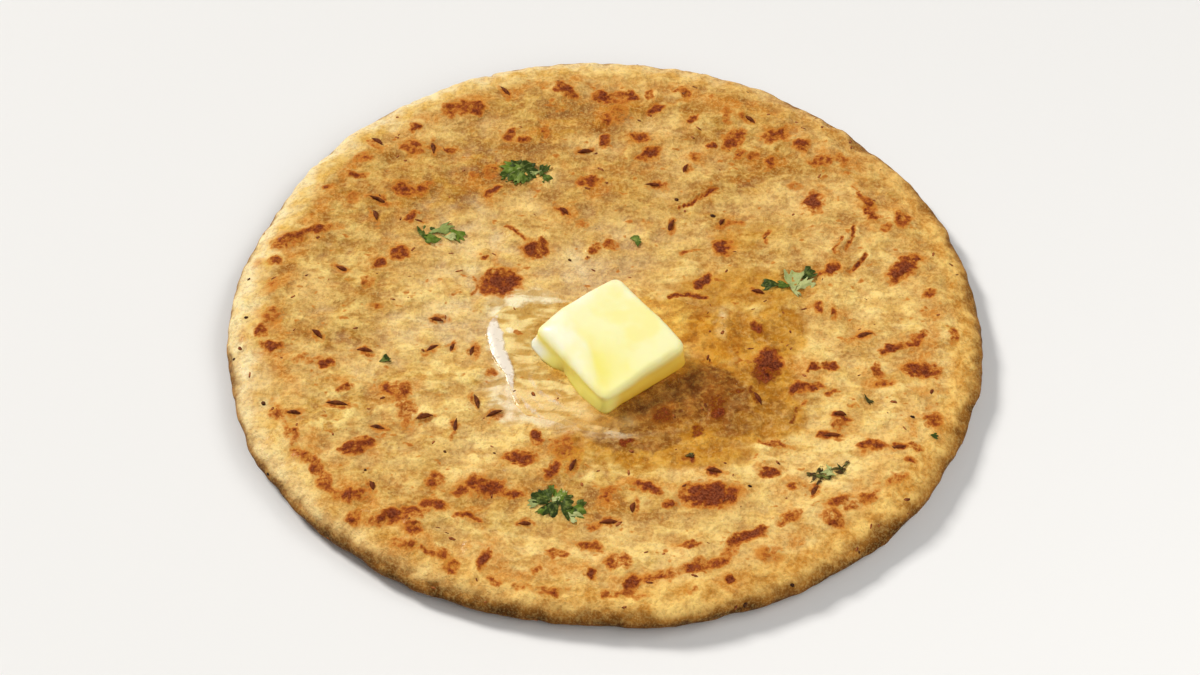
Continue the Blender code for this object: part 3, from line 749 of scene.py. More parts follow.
def makeButter(seat):
    turn = np.arange(butter["spokes"]) * (math.tau / butter["spokes"])
    power = butter["squareness"]
    reach = (np.abs(np.cos(turn)) ** power + np.abs(np.sin(turn)) ** power) ** (-1.0 / power)
    u, v = reach * np.cos(turn), reach * np.sin(turn)
    onFront = easeStep(-0.55, -0.95, v)
    spread = 0.5 + onFront * np.interp(u, *zip(*butter["frontSpread"]))
    softened = easeStep(-0.25, -0.9, v) * easeStep(1.0, -0.2, u)
    edge = butter["edgeRound"] + (butter["meltedInset"] - butter["edgeRound"]) * softened
    drop = butter["edgeRound"] + (butter["meltedDrop"] - butter["edgeRound"]) * softened
    half, tall = butter["half"], butter["top"] - seat
    rows = [(np.full_like(u, 0.02), np.zeros_like(u))]
    rows += [(share * (1 + spread / half), np.zeros_like(u)) for share in (0.3, 0.6, 0.85, 0.97)]
    for climb in np.linspace(0.0, 1.0, butter["wallRows"]):
        out = spread * (1.0 - climb) ** 2.2
        rows.append((1 + out / half, climb * (tall - drop)))
    belowBevel = len(rows)
    for lean in np.linspace(0.0, 90.0, butter["bevelRows"] + 1)[1:]:
        lean = math.radians(lean)
        rows.append((1 - edge * (1 - math.cos(lean)) / half, tall - drop + drop * math.sin(lean)))
    for share in np.linspace(1.0, 0.0, butter["topRows"])[1:-1]:
        rows.append(((1 - edge / half) * share, np.full_like(u, tall)))
    places = []
    for grow, rise in rows:
        flat = butterPlace(u * grow, v * grow, butter["corners"])
        places.append(np.column_stack((flat, seat + rise)))
    middle = butterPlace(np.zeros(1), np.zeros(1), butter["corners"])[0]
    places = np.concatenate([[[*middle, seat]]] + places + [[[*middle, butter["top"]]]])
    counts = [1] + [butter["spokes"]] * len(rows) + [1]
    faces = [tuple(reversed(face)) for face in stitchAll(counts)]
    rise = (places[:, 2] - seat) / tall
    away = places - np.array((*middle, seat + tall / 2))
    away /= np.linalg.norm(away, axis=1)[:, None] + 1e-9
    wander = 0.3 * hills(places, 9.0, 70) + 0.1 * hills(places, 3.2, 71) + 0.03 * hills(places, 1.2, 72)
    places = places + away * (wander * easeStep(0.0, 0.1, rise))[:, None]
    fromHigh = np.hypot(*(places[:, :2] - (6.0, -4.0)).T)
    places[:, 2] -= 0.35 * easeStep(0.5, 1.0, rise) * easeStep(6.0, 24.0, fromHigh)
    nearCorner = np.hypot(*(places[:, :2] - (-1.0, -34.0)).T)
    places[:, 2] -= butter["slump"] * easeStep(0.15, 1.0, rise) * np.exp(-(nearCorner / 11.0) ** 2)
    piece = meshPiece("butter_pat_soft", places + shift, faces)
    bmeshTurnOut(piece)
    # a painted highlight on the rounded edges of the back and left sides, which face the key lamp, fading
    # into the top
    back, left = easeStep(0.5, 0.95, -v) * 0.9, easeStep(0.6, 0.95, -u) * 0.8
    farLeft = easeStep(0.6, 0.95, v) * easeStep(0.1, -0.5, u) * 0.5
    edged = np.maximum(back * easeStep(0.95, 0.3, u), np.maximum(left, farLeft))
    fades = [edged * share for share in (0.85, 0.6, 0.35, 0.15)]
    coloured = belowBevel + butter["bevelRows"] + len(fades)
    brim = np.concatenate([np.zeros(1 + belowBevel * butter["spokes"]), np.tile(edged, butter["bevelRows"]),
                           *fades, np.zeros(len(places) - 1 - coloured * butter["spokes"])])
    front = np.concatenate(([0.0], np.tile(onFront, len(rows)), [0.0]))
    foot = np.concatenate(([0.0], np.tile(onFront * easeStep(-0.35, -0.7, u), len(rows)), [0.0]))
    foot = foot * easeStep(0.5, 0.2, rise)
    warm = np.exp(-(np.hypot(*(places[:, :2] - (-3.0, -25.0)).T) / 9.0) ** 2)
    storeNumbers(piece, rise=rise, brim=brim, front=front, foot=foot, warm=warm)
    return piece


def bmeshTurnOut(piece):
    # makes every face of a closed piece point outwards
    body = bmesh.new()
    body.from_mesh(piece.data)
    bmesh.ops.recalc_face_normals(body, faces=body.faces)
    body.to_mesh(piece.data)
    body.free()


def butterMaterial():
    s = Shader("softButter")
    rise, brim, front, foot, warm = (s.field(name) for name in ("rise", "brim", "front", "foot", "warm"))
    cloud = s.noise(9.0, 2, 0.5)
    fine = s.noise(1.6, 3, 0.6, shift=3.0)
    colour = s.blend(cloud.step(0.38, 0.62), paint(254, 243, 166), paint(255, 249, 192))
    colour = s.blend(warm * 0.75, colour, paint(254, 238, 112))
    # the painted highlight along the edges that face the key lamp
    colour = s.blend(brim * (0.55 + 0.35 * cloud.step(0.4, 0.6)), colour, paint(255, 253, 222))
    # the walls: deeper gold away from the key lamp, the butter's gold with painted shade, and paler on the
    # lit front wall, painted light
    wall = rise.step(0.86, 0.5)
    colour = s.blend(wall * (1.0 - front) * 0.9, colour, paint(255, 214, 74))
    colour = s.blend(wall * front * 0.85, colour, paint(255, 243, 124))
    # painted shade towards the foot of the walls, less on the lit front
    colour = s.blend(rise.step(0.45, 0.0) * 0.7 * (1.0 - 0.7 * front), colour, paint(240, 176, 30))
    # the melted foot on the lit front, painted pale as milky butter and as a highlight
    colour = s.blend(foot, colour, paint(255, 252, 222))
    normal = s.bump(cloud * 0.7 + fine * 0.2, 0.3, 0.45)
    return s.finish(s.principled({
        "Base Color": colour, "Roughness": 0.38 + (fine - 0.5) * 0.15, "Normal": normal,
        "Specular IOR Level": 0.35,
        "Subsurface Weight": 0.4, "Subsurface Radius": (0.004, 0.003, 0.0012), "Subsurface Scale": 0.8,
        "Coat Weight": 0.08, "Coat Roughness": 0.25}))


puddle = {
    # how far the melted butter has run, as (turn, reach) from the butter's middle
    "reach": ((4, 36), (34, 29), (60, 23), (88, 20), (120, 20.5), (140, 25), (150, 33), (158, 34),
              (170, 34.2), (178, 32.8), (187, 31), (194, 29.6), (201, 29), (208, 30), (216, 31),
              (228, 30.5), (241, 28), (265, 28), (287, 28), (310, 31), (332, 35)),
    "spokes": 220,
    "rings": 56,
    "level": 0.30,
    # turn, and how high its edge stands there
    "lip": ((155, 0), (168, 1), (184, 0.95), (194, 0.75), (204, 0.5), (216, 0.3), (228, 0)),
    "lipHeight": 0.32,
    # the pale streaks are milky butter and a painted reflection
    "milkTurn": 226.0,        # where pale streaks drift in it
    "milkWidth": 34.0,
}


def puddleReach(turn):
    marks = sorted(puddle["reach"])
    turns = [marks[-1][0] - 360.0] + [mark[0] for mark in marks] + [marks[0][0] + 360.0]
    reaches = [marks[-1][1]] + [mark[1] for mark in marks] + [marks[0][1]]
    spins = (np.degrees(turn)[:, None] + np.linspace(-4.0, 4.0, 9)) % 360.0
    return np.interp(spins, turns, reaches).mean(1)


def makePuddle():
    turn = np.arange(puddle["spokes"]) * (math.tau / puddle["spokes"])
    ring = np.column_stack((np.cos(turn), np.sin(turn), np.zeros_like(turn)))
    lip = np.interp(np.degrees(turn), *zip(*puddle["lip"]))
    waver = 0.6 * hills(ring * 30.0, 6.0, 80) + 0.35 * hills(ring * 30.0, 2.6, 81)
    reach = puddleReach(turn) + waver * (1.0 - 0.65 * lip)
    aside = (np.degrees(turn) - puddle["milkTurn"] + 180.0) % 360.0 - 180.0
    milky = np.exp(-(aside / puddle["milkWidth"]) ** 2)
    slope = 5.0 - 2.6 * lip
    tops, bottoms, milk = [], [], []
    shares = 1.0 - (np.linspace(1.0, 0.0, puddle["rings"]) ** 1.6) * 0.72
    for share in shares[::-1]:
        flat = patMiddle + np.column_stack((np.cos(turn), np.sin(turn))) * (reach * share)[:, None]
        inside = reach * (1.0 - share)
        deep = puddle["level"] * easeStep(-0.3, 1.0, inside / slope)
        bank = easeStep(0.0, 1.0, inside / 2.6) * np.exp(-np.maximum(inside - 2.6, 0.0) / 2.0)
        deep += puddle["lipHeight"] * lip ** 2 * bank
        base = bread["thickness"] + broadRelief(flat) - 0.12
        tops.append(np.column_stack((flat, base + deep - 0.25 * easeStep(1.0, 0.0, inside / 0.8))))
        bottoms.append(np.column_stack((flat, base - 0.7)))
        drift = hills(np.column_stack((turn * 5.0, reach * share, 0.0 * turn)), 2.0, 85)
        ragged = drift + 0.25 * hills(np.column_stack((flat, 0.0 * turn)), 3.0, 86)
        streaks = milky * easeStep(-0.5, 0.5, ragged)
        wide = 0.5 + 1.9 * lip ** 2
        # the pale crest along the lip: milky butter and a painted reflection on the lip
        crest = np.minimum(1.0, lip * 1.5) * np.exp(-((inside - 0.3 - wide) / wide) ** 4)
        milk.append(np.maximum(crest, 0.5 * streaks * easeStep(15.0, 9.0, inside)))
    places = np.concatenate(bottoms[::-1] + tops)
    counts = [puddle["spokes"]] * (2 * len(tops))
    faces = stitchAll(counts)
    last = len(places) - puddle["spokes"]
    stitch(faces, last, puddle["spokes"], 0, puddle["spokes"])
    piece = meshPiece("melted_butter", places + shift, faces)
    bmeshTurnOut(piece)
    storeNumbers(piece, milk=np.concatenate([np.zeros(len(turn))] * len(tops) + milk))
    return piece


def meltedMaterial():
    s = Shader("meltedButter")
    milk = s.field("milk")
    ripple = s.noise(2.2, 3, 0.6, warp=0.8)
    normal = s.bump(ripple, 0.4, 0.5)
    clear = s.node("ShaderNodeBsdfTransparent", None, {"Color": paint(254, 248, 226)}).outputs[0]
    smooth = s.bump(ripple, 0.15, 0.3)
    pale = s.principled({"Base Color": paint(252, 242, 226), "Roughness": 0.5, "Normal": smooth,
                         "Specular IOR Level": 0.3})
    # the milky pale part, which also paints the reflection on the lip and in the streaks
    share = (milk * (0.65 + 0.6 * ripple.step(0.3, 0.7))).step(0.2, 0.9) * 0.86
    body = s.node("ShaderNodeMixShader", None, {0: share, 1: clear, 2: pale})
    gloss = s.node("ShaderNodeBsdfGlossy", None,
                   {"Color": (1.0, 0.94, 0.8, 1.0), "Roughness": 0.2, "Normal": normal})
    facing = Number(s, s.node("ShaderNodeLayerWeight", None, {"Normal": normal}).outputs["Facing"])
    values = {0: 0.03 + 0.6 * facing.join("POWER", 5.0), 1: body.outputs[0], 2: gloss.outputs[0]}
    return s.finish(s.node("ShaderNodeMixShader", None, values).outputs[0])


cuminSeeds = (  # x, y, length, turn
    (-30, 85, 5.2, -52), (-65, 63, 5.2, -48), (-49.5, 61.7, 5, -78), (-63, 40.2, 6.2, -22),
    (-63.7, 35, 4.4, -75), (-71, 15, 5.2, -28), (39.3, 75.7, 4.8, -45), (12.7, 49.3, 5.6, 0),
    (17.5, 34, 4.6, 70), (31.4, 36, 2.6, 60), (-44.7, -2, 3.8, -5), (-76, -9, 4.2, -45),
    (-63, -14, 4.6, -8), (-45.3, -12.3, 4, 35), (-34.7, -12.7, 4.2, 80), (-68.7, -32.7, 6.4, -8),
    (-79.7, -36, 4, 0), (-58, -40, 4.2, -15), (-46, -36.7, 5, 22), (-33, -30.3, 5.4, -75),
    (-28, -34.3, 4.8, 22), (-37.7, -39.3, 5.6, 88), (-58, -60, 3.4, -70), (-7.3, -51.3, 4.8, 70),
    (-18.7, -70, 4.2, 0), (2.3, -69, 5.4, 5), (40.7, 10, 3.8, -15), (40, -26.7, 5.2, -65),
    (-40, -11.7, 3.6, 75), (-6.7, 61.7, 4.4, 8), (68.3, -4.7, 5.6, 12), (59, -39, 5, 5),
    (8.3, -64, 3.4, 80), (54.2, -57.5, 4.4, 62), (-12, 38.4, 3.8, -50), (76, -42.9, 3.6, 10),
    (61.3, -32.5, 3.4, -8), (28.7, -52.2, 4.2, -12), (21.3, 55.5, 3.4, 70),
)
branForm = {"Density": 5500.0, "Smallest": 0.0005, "Largest": 0.0011, "Seed": 3}   # in metres
seedForm = {"thick": 1.28, "sides": 10, "steps": 9, "bend": 0.12, "sunk": 0.02}

flecks = (  # single dark specks: x, y, size
    (-96, 11.7, 1.3), (-95.3, -3, 1.4), (-97.4, -16, 1.3), (48, -85, 1.5), (37.7, -93.7, 1.9),
    (-60, -54.3, 1.2), (-86.6, -54.4, 1.2), (-10, 21, 1.3), (85.7, -38.3, 1.3), (37.6, -56.6, 1.4),
    (-88, -32.3, 1.9), (80, -32.7, 1.7), (18.8, 44, 1.8), (28.7, 38.3, 2.0), (-40.2, -47.6, 1.2),
    (-27.5, -47.4, 1.1), (65, -74, 1.0), (-57.7, -59, 1.2),
)

# a tone near 1 paints pale leaf and also the highlights where a leaf or herb bit catches the light
leafBits = (  # x, y, length, width, turn, and tone: -0.4 burnt, 0 dark, 0.5 green, 1 pale
    (-27.0, 54.0, 6.6, 5.8, 170, 0.55), (-25.4, 51.2, 6.4, 5.4, -120, 0.3),
    (-23.0, 54.6, 6, 5.6, 40, 0.1), (-22.4, 51.6, 5.6, 5, -50, 0.15), (-25.6, 55.6, 5, 4.4, 110, 0.1),
    (-28.2, 51.8, 4.6, 3.8, 205, 0.2), (-24.4, 50.0, 4, 3.6, -85, 0.6), (-18.6, 53.6, 5.4, 3, 80, 0.2),
    (-18.2, 50.8, 5, 3.4, -75, 0.3), (-20.2, 52.8, 3.6, 1.6, 200, 0.8), (-26.4, 52.8, 4.4, 3, 200, 0.75),
    (-49.4, 28.6, 6.2, 5, 100, 0.2), (-45.2, 29.6, 7.4, 4.4, 8, 0.7), (-41.0, 28.8, 5.4, 3.8, -35, 0.5),
    (-47.4, 26.4, 5, 3.6, 195, 0.45), (-43.0, 27.6, 4.2, 2.6, -20, 0.95), (44.4, 13.2, 5.8, 4, 165, 0.05),
    (49.8, 14.6, 8.4, 5.6, 100, 0.85), (52.8, 13.2, 6.4, 4.4, 50, 0.95), (54.4, 16.6, 5, 4.4, 20, 0.1),
    (50.4, 10.4, 4.6, 1.6, -55, 1.0), (47.6, 12.0, 4, 3, 190, 0.3), (-15.4, -62.6, 6, 5, 150, 0.05),
    (-13.4, -60.8, 5, 4.2, 100, 0.15), (-10.8, -62.0, 6, 4.2, 70, 0.5), (-9.2, -62.6, 5.4, 5, 20, 0.1),
    (-12.4, -65.0, 6, 5, -130, 0.0), (-8.6, -66.2, 5.6, 4.6, -60, 0.1), (-6.2, -65.6, 5.4, 4.6, 10, 0.35),
    (-6.4, -67.4, 4.4, 3.6, -30, 0.95), (-11.4, -63.2, 4, 2.4, 60, 1.0), (-16.6, -63.6, 4, 2.6, 190, 0.8),
    (-14.4, -66.0, 3.6, 3, -110, 0.4), (-9.8, -60.4, 3, 1.8, 80, 0.95), (-5.0, -63.8, 3.4, 2.8, 50, 0.2),
    (-12.4, -59.2, 3, 1.6, 100, 0.3), (59.8, -50.2, 3.6, 1.3, 28, -0.22),
    (57.2, -51.6, 3.4, 1.5, 12, 0.9), (62.2, -49.2, 3.2, 1.0, 35, -0.34),
    (55.2, -52.6, 3.4, 1.3, -12, -0.25), (53.4, -52.2, 2.8, 0.9, 190, -0.4),
    (57.0, -53.4, 3.0, 1.2, -25, -0.15), (60.4, -52.0, 2.6, 1.0, -5, -0.35),
    (54.6, -55.0, 3.4, 0.8, 68, -0.4), (55.2, -50.6, 2.6, 1.0, 60, -0.34),
    (58.4, -52.4, 2.8, 1.3, 150, 0.95), (56.0, -51.8, 3.0, 1.5, 100, -0.24),
    (60.8, -49.6, 2.4, 1.2, -40, -0.15), (61.6, -51.0, 2.2, 0.9, 80, -0.4),
    (54.0, -53.6, 2.6, 1.1, 40, -0.35), (57.8, -50.2, 2.6, 1.2, -60, 0.9), (7.6, 29.4, 3, 2.4, 10, 0.6),
    (68.7, -26.6, 3.6, 1.8, -60, -0.2), (-57.4, -17, 3.4, 2.6, 20, 0.1), (8.2, 27.4, 2.4, 1.8, 100, 0.3),
    (22.4, -46.8, 2.6, 1.4, 20, -0.3), (85.4, -38.6, 2.2, 1.8, 0, 0.2),
)


def layOn(tree, x, y):
    # where a thing laid at x, y touches the crust, and the crust's slope there
    x, y = x + shift[0] + bread["laidShift"][0], y + shift[1] + bread["laidShift"][1]
    start = Vector((x * mm, y * mm, 0.05))
    place, normal, _, _ = tree.ray_cast(start, Vector((0, 0, -1)))
    if place is None:
        place, normal, _, _ = tree.find_nearest(Vector((start.x, start.y, 0.006)))
    return place, normal


def seedShape():
    # a lengthwise ridged seed from -0.5 to 0.5 along X, one unit thick, drawn to its size where it is laid
    places = []
    for step in range(1, seedForm["steps"]):
        along = step / seedForm["steps"]
        girth = 0.5 * math.sin(math.pi * along) ** 0.95 * (1.0 - 0.25 * abs(along - 0.45))
        for side in range(seedForm["sides"]):
            angle = math.tau * side / seedForm["sides"]
            ridge = girth * (1.0 if side % 2 else 0.84)
            bend = seedForm["bend"] * (1.0 - (2.0 * along - 1.0) ** 2)
            places.append((along - 0.5, ridge * math.cos(angle) + bend * 2.0, ridge * math.sin(angle)))
    places = [(-0.5, 0.0, 0.0)] + places + [(0.5, 0.0, 0.0)]
    counts = [1] + [seedForm["sides"]] * (seedForm["steps"] - 1) + [1]
    piece = meshPiece("seedShape", np.array(places) / mm, stitchAll(counts))
    bmeshTurnOut(piece)
    return piece


def speckShape():
    body = bmesh.new()
    bmesh.ops.create_icosphere(body, subdivisions=1, radius=0.5)
    for vert in body.verts:
        vert.co *= 0.8 + 0.4 * ((vert.index * 7) % 5) / 5
        vert.co.z *= 0.55
    mesh = bpy.data.meshes.new("speckShape")
    body.to_mesh(mesh)
    body.free()
    mesh.shade_smooth()
    piece = bpy.data.objects.new("speckShape", mesh)
    bpy.context.scene.collection.objects.link(piece)
    return piece


def geometryTree(name, inputs):
    tree = bpy.data.node_groups.new(name, "GeometryNodeTree")
    for label, kind in inputs:
        tree.interface.new_socket(label, in_out="INPUT", socket_type=kind)
    tree.interface.new_socket("Geometry", in_out="OUTPUT", socket_type="NodeSocketGeometry")
    return tree, tree.nodes.new("NodeGroupInput"), tree.nodes.new("NodeGroupOutput")


def treeNode(tree, kind, settings=None, values=None):
    made = tree.nodes.new(kind)
    for name, value in (settings or {}).items():
        setattr(made, name, value)
    for name, value in (values or {}).items():
        if isinstance(value, bpy.types.NodeSocket):
            tree.links.new(value, made.inputs[name])
        else:
            made.inputs[name].default_value = value
    return made


def layTree():
    # lays one shape on every point, turned and sized by the point's own numbers
    tree, given, out = geometryTree("layOnPoints", (
        ("Points", "NodeSocketGeometry"), ("Shape", "NodeSocketObject"), ("Finish", "NodeSocketMaterial")))
    shape = treeNode(tree, "GeometryNodeObjectInfo", None, {"Object": given.outputs["Shape"]})
    lie = treeNode(tree, "GeometryNodeInputNamedAttribute", {"data_type": "FLOAT_VECTOR"}, {"Name": "lie"})
    size = treeNode(tree, "GeometryNodeInputNamedAttribute", {"data_type": "FLOAT_VECTOR"}, {"Name": "drawn"})
    laid = treeNode(tree, "GeometryNodeInstanceOnPoints", None, {
        "Points": given.outputs["Points"], "Instance": shape.outputs["Geometry"],
        "Rotation": lie.outputs["Attribute"], "Scale": size.outputs["Attribute"]})
    whole = treeNode(tree, "GeometryNodeRealizeInstances", None, {"Geometry": laid.outputs[0]})
    done = treeNode(tree, "GeometryNodeSetMaterial", None,
                    {"Geometry": whole.outputs[0], "Material": given.outputs["Finish"]})
    tree.links.new(done.outputs[0], out.inputs[0])
    return tree


def scatterTree():
    # strews a shape over the faces that a field allows, at random turns and sizes
    tree, given, out = geometryTree("scatterOnCrust", (
        ("Crust", "NodeSocketGeometry"), ("Shape", "NodeSocketObject"), ("Density", "NodeSocketFloat"),
        ("Smallest", "NodeSocketFloat"), ("Largest", "NodeSocketFloat"), ("Seed", "NodeSocketInt"),
        ("Finish", "NodeSocketMaterial")))
    shape = treeNode(tree, "GeometryNodeObjectInfo", None, {"Object": given.outputs["Shape"]})
    under = treeNode(tree, "GeometryNodeInputNamedAttribute", {"data_type": "FLOAT"}, {"Name": "under"})
    onTop = treeNode(tree, "FunctionNodeCompare", {"operation": "LESS_THAN"},
                     {0: under.outputs["Attribute"], 1: 0.5})
    points = treeNode(tree, "GeometryNodeDistributePointsOnFaces", None, {
        "Mesh": given.outputs["Crust"], "Selection": onTop.outputs[0], "Density": given.outputs["Density"],
        "Seed": given.outputs["Seed"]})
    size = treeNode(tree, "FunctionNodeRandomValue", {"data_type": "FLOAT"}, {
        2: given.outputs["Smallest"], 3: given.outputs["Largest"], "Seed": given.outputs["Seed"]})
    spin = treeNode(tree, "FunctionNodeRandomValue", {"data_type": "FLOAT"}, {2: 0.0, 3: math.tau, "Seed": 5})
    turned = treeNode(tree, "FunctionNodeRotateRotation", {"rotation_space": "LOCAL"},
                      {0: points.outputs["Rotation"]})
    spun = treeNode(tree, "ShaderNodeCombineXYZ", None, {"Z": spin.outputs[1]})
    tree.links.new(spun.outputs[0], turned.inputs[1])
    stretch = treeNode(tree, "FunctionNodeRandomValue", {"data_type": "FLOAT_VECTOR"},
                       {0: (1.2, 0.5, 0.35), 1: (2.8, 1.0, 0.6), "Seed": 9})
    drawn = treeNode(tree, "ShaderNodeVectorMath", {"operation": "SCALE"},
                     {0: stretch.outputs[0], "Scale": size.outputs[1]})
    laid = treeNode(tree, "GeometryNodeInstanceOnPoints", None, {
        "Points": points.outputs["Points"], "Instance": shape.outputs["Geometry"],
        "Rotation": turned.outputs[0], "Scale": drawn.outputs[0]})
    whole = treeNode(tree, "GeometryNodeRealizeInstances", None, {"Geometry": laid.outputs[0]})
    done = treeNode(tree, "GeometryNodeSetMaterial", None,
                    {"Geometry": whole.outputs[0], "Material": given.outputs["Finish"]})
    tree.links.new(done.outputs[0], out.inputs[0])
    return tree


def grow(name, base, tree, values):
    # the plain mesh that a tree makes of base; base itself is left as it is
    carrier = bpy.data.objects.new(name + "Carrier", base)
    bpy.context.scene.collection.objects.link(carrier)
    modifier = carrier.modifiers.new(name, "NODES")
    modifier.node_group = tree
    sockets = {item.name: item.identifier for item in tree.interface.items_tree if item.in_out == "INPUT"}
    for label, value in values.items():
        modifier[sockets[label]] = value
    evaluated = carrier.evaluated_get(bpy.context.evaluated_depsgraph_get())
    mesh = bpy.data.meshes.new_from_object(evaluated)
    mesh.name = name
    bpy.data.objects.remove(carrier, do_unlink=True)
    piece = bpy.data.objects.new(name, mesh)
    bpy.context.scene.collection.objects.link(piece)
    return piece


def pointMesh(name, places, lies, sizes):
    mesh = bpy.data.meshes.new(name)
    mesh.from_pydata([tuple(place) for place in places], [], [])
    for label, rows in (("lie", lies), ("drawn", sizes)):
        layer = mesh.attributes.new(label, "FLOAT_VECTOR", "POINT")
        layer.data.foreach_set("vector", np.asarray(rows, np.float32).ravel())
    return mesh


def makeSeeds(tree, shape, material):
    places, lies, sizes = [], [], []
    for index, (x, y, length, turn) in enumerate(cuminSeeds):
        place, normal = layOn(tree, x, y)
        thick = seedForm["thick"] * (0.85 + 0.3 * ((index * 5) % 7) / 6)
        along = Vector((math.cos(math.radians(turn)), math.sin(math.radians(turn)), 0.0))
        along = (along - normal * along.dot(normal)).normalized()
        across = normal.cross(along)
        frameOfSeed = Matrix((along, across, normal)).transposed()
        places.append(place + normal * thick * seedForm["sunk"] * mm)
        lies.append(frameOfSeed.to_euler())
        sizes.append((length * mm, thick * mm, thick * mm))
    base = pointMesh("cuminPoints", places, lies, sizes)
    return grow("cumin_seeds", base, layTree(), {"Shape": shape, "Finish": material})


def seedMaterial():
    s = Shader("cuminSeed")
    streak = s.noise(0.9, 3, 0.6)
    colour = s.blend(streak.step(0.35, 0.65), paint(74, 30, 10), paint(128, 66, 26))
    colour = s.blend(s.noise(14, 1).step(0.4, 0.6) * 0.4, colour, paint(112, 46, 16))
    return s.finish(s.principled({"Base Color": colour, "Roughness": 0.7, "Normal": s.bump(streak, 0.12, 0.6),
                                  "Specular IOR Level": 0.15}))


def speckMaterial(name, dark, light):
    s = Shader(name)
    colour = s.blend(s.noise(1.2).step(0.4, 0.6), dark, light)
    return s.finish(s.principled({"Base Color": colour, "Roughness": 0.7, "Specular IOR Level": 0.15}))


def makeFlecks(tree, shape, material):
    places, lies, sizes = [], [], []
    for index, (x, y, size) in enumerate(flecks):
        place, normal = layOn(tree, x, y)
        places.append(place)
        spun = Matrix.Rotation(index * 1.3, 3, "Z").to_quaternion()
        lies.append((normal.to_track_quat("Z", "X") @ spun).to_euler())
        sizes.append((size * mm, size * 0.7 * mm, size * 0.7 * mm))
    base = pointMesh("fleckPoints", places, lies, sizes)
    return grow("dark_flecks", base, layTree(), {"Shape": shape, "Finish": material})


leafForm = {"rows": 22, "columns": 21, "thick": 0.15, "crumple": 0.7, "fold": 1.1}


def makeLeaves(tree):
    # crumpled fans of three toothed lobes, with two skins, lying half in the crust
    places, faces, tones, veins = [], [], [], []
    rows, columns = leafForm["rows"], leafForm["columns"]
    grids = np.meshgrid(np.linspace(0.03, 1, rows), np.linspace(-1, 1, columns), indexing="ij")
    out, across = (grid.ravel() for grid in grids)
    quads = [(r * columns + c, (r + 1) * columns + c, (r + 1) * columns + c + 1, r * columns + c + 1)
             for r in range(rows - 1) for c in range(columns - 1)]
    border = (list(range(columns)) + [r * columns + columns - 1 for r in range(1, rows)]
              + [(rows - 1) * columns + c for c in range(columns - 2, -1, -1)]
              + [r * columns for r in range(rows - 2, 0, -1)])
    size = rows * columns
    for index, (x, y, length, width, turn, tone) in enumerate(leafBits):
        spread = math.asin(min(0.95, width / (1.5 * length)))
        lobes = 0.92 + 0.08 * np.cos(3 * math.pi * across + 0.5 * math.sin(index * 2.3))
        lobes = lobes + 0.06 * np.cos(12 * across + index)
        reach = length * out * (1 - out * (1 - lobes)) * (1 - 0.12 * across ** 2)
        angle = across * spread + 0.25 * math.sin(index * 1.7) * out
        flat = np.column_stack((reach * np.cos(angle) - length * 0.5, reach * np.sin(angle), np.zeros(size)))
        crumple = hills(flat + index * 9.0, 2.6, 90) + 0.6 * hills(flat + index * 9.0, 1.2, 91)
        fold = leafForm["fold"] * (np.abs(across) - 0.45) * out * (1.0 if index % 2 else -0.6)
        groove = 0.12 * np.abs(np.cos(3 * math.pi * across)) * out
        flat[:, 2] = fold * width / 5.0 + leafForm["crumple"] * crumple - groove
        flat = flat @ np.array(Matrix.Rotation(math.radians(turn), 3, "Z")).T
        lifted = []
        for px, py, pz in flat:
            place, _ = layOn(tree, x + px, y + py)
            lifted.append((place.x / mm, place.y / mm, place.z / mm + 0.3 + pz * 0.8))
        lifted = np.array(lifted)
        start = len(places)
        brim = easeStep(0.0, 0.12, 1.0 - np.maximum(np.abs(across), out))
        thick = leafForm["thick"] * (0.25 + 0.75 * brim)[:, None] * np.array((0.0, 0.0, 1.0))
        places.extend(lifted + thick)
        places.extend(lifted - thick)
        faces.extend(tuple(start + i for i in quad) for quad in quads)
        faces.extend(tuple(start + size + i for i in reversed(quad)) for quad in quads)
        for a, b in zip(border, border[1:] + border[:1]):
            faces.append((start + a, start + b, start + size + b, start + size + a))
        vein = np.abs(((across + 1.0) * 1.5 + 0.5) % 1.0 - 0.5)
        tones.extend([tone] * (2 * size))
        veins.extend(list(vein) * 2)
    piece = meshPiece("coriander_leaves", np.array(places), faces)
    bmeshTurnOut(piece)
    storeNumbers(piece, tone=tones, vein=veins)
    return piece


def leafMaterial():
    s = Shader("corianderLeaf")
    tone, vein = s.field("tone"), s.field("vein")
    cloud = s.noise(1.6, 3, 0.6)
    colour = s.blend(tone.step(-0.4, 0.0), paint(78, 50, 24), paint(44, 58, 12))
    colour = s.blend(tone.step(0.0, 0.6), colour, paint(98, 124, 32))
    # pale tones: pale leaf with painted highlights
    colour = s.blend(tone.step(0.5, 1.0), colour, paint(186, 190, 128))
    # painted highlights on the raised crumples and painted shade in their hollows
    colour = s.blend(cloud.step(0.48, 0.68) * 0.5, colour, paint(148, 160, 78))
    colour = s.blend(cloud.step(0.46, 0.3) * 0.6, colour, paint(36, 46, 12))
    colour = s.blend(vein.step(0.10, 0.0) * 0.45, colour, paint(170, 178, 104))
    return s.finish(s.principled({"Base Color": colour, "Roughness": 0.55, "Normal": s.bump(cloud, 0.3, 0.8),
                                  "Specular IOR Level": 0.15}))


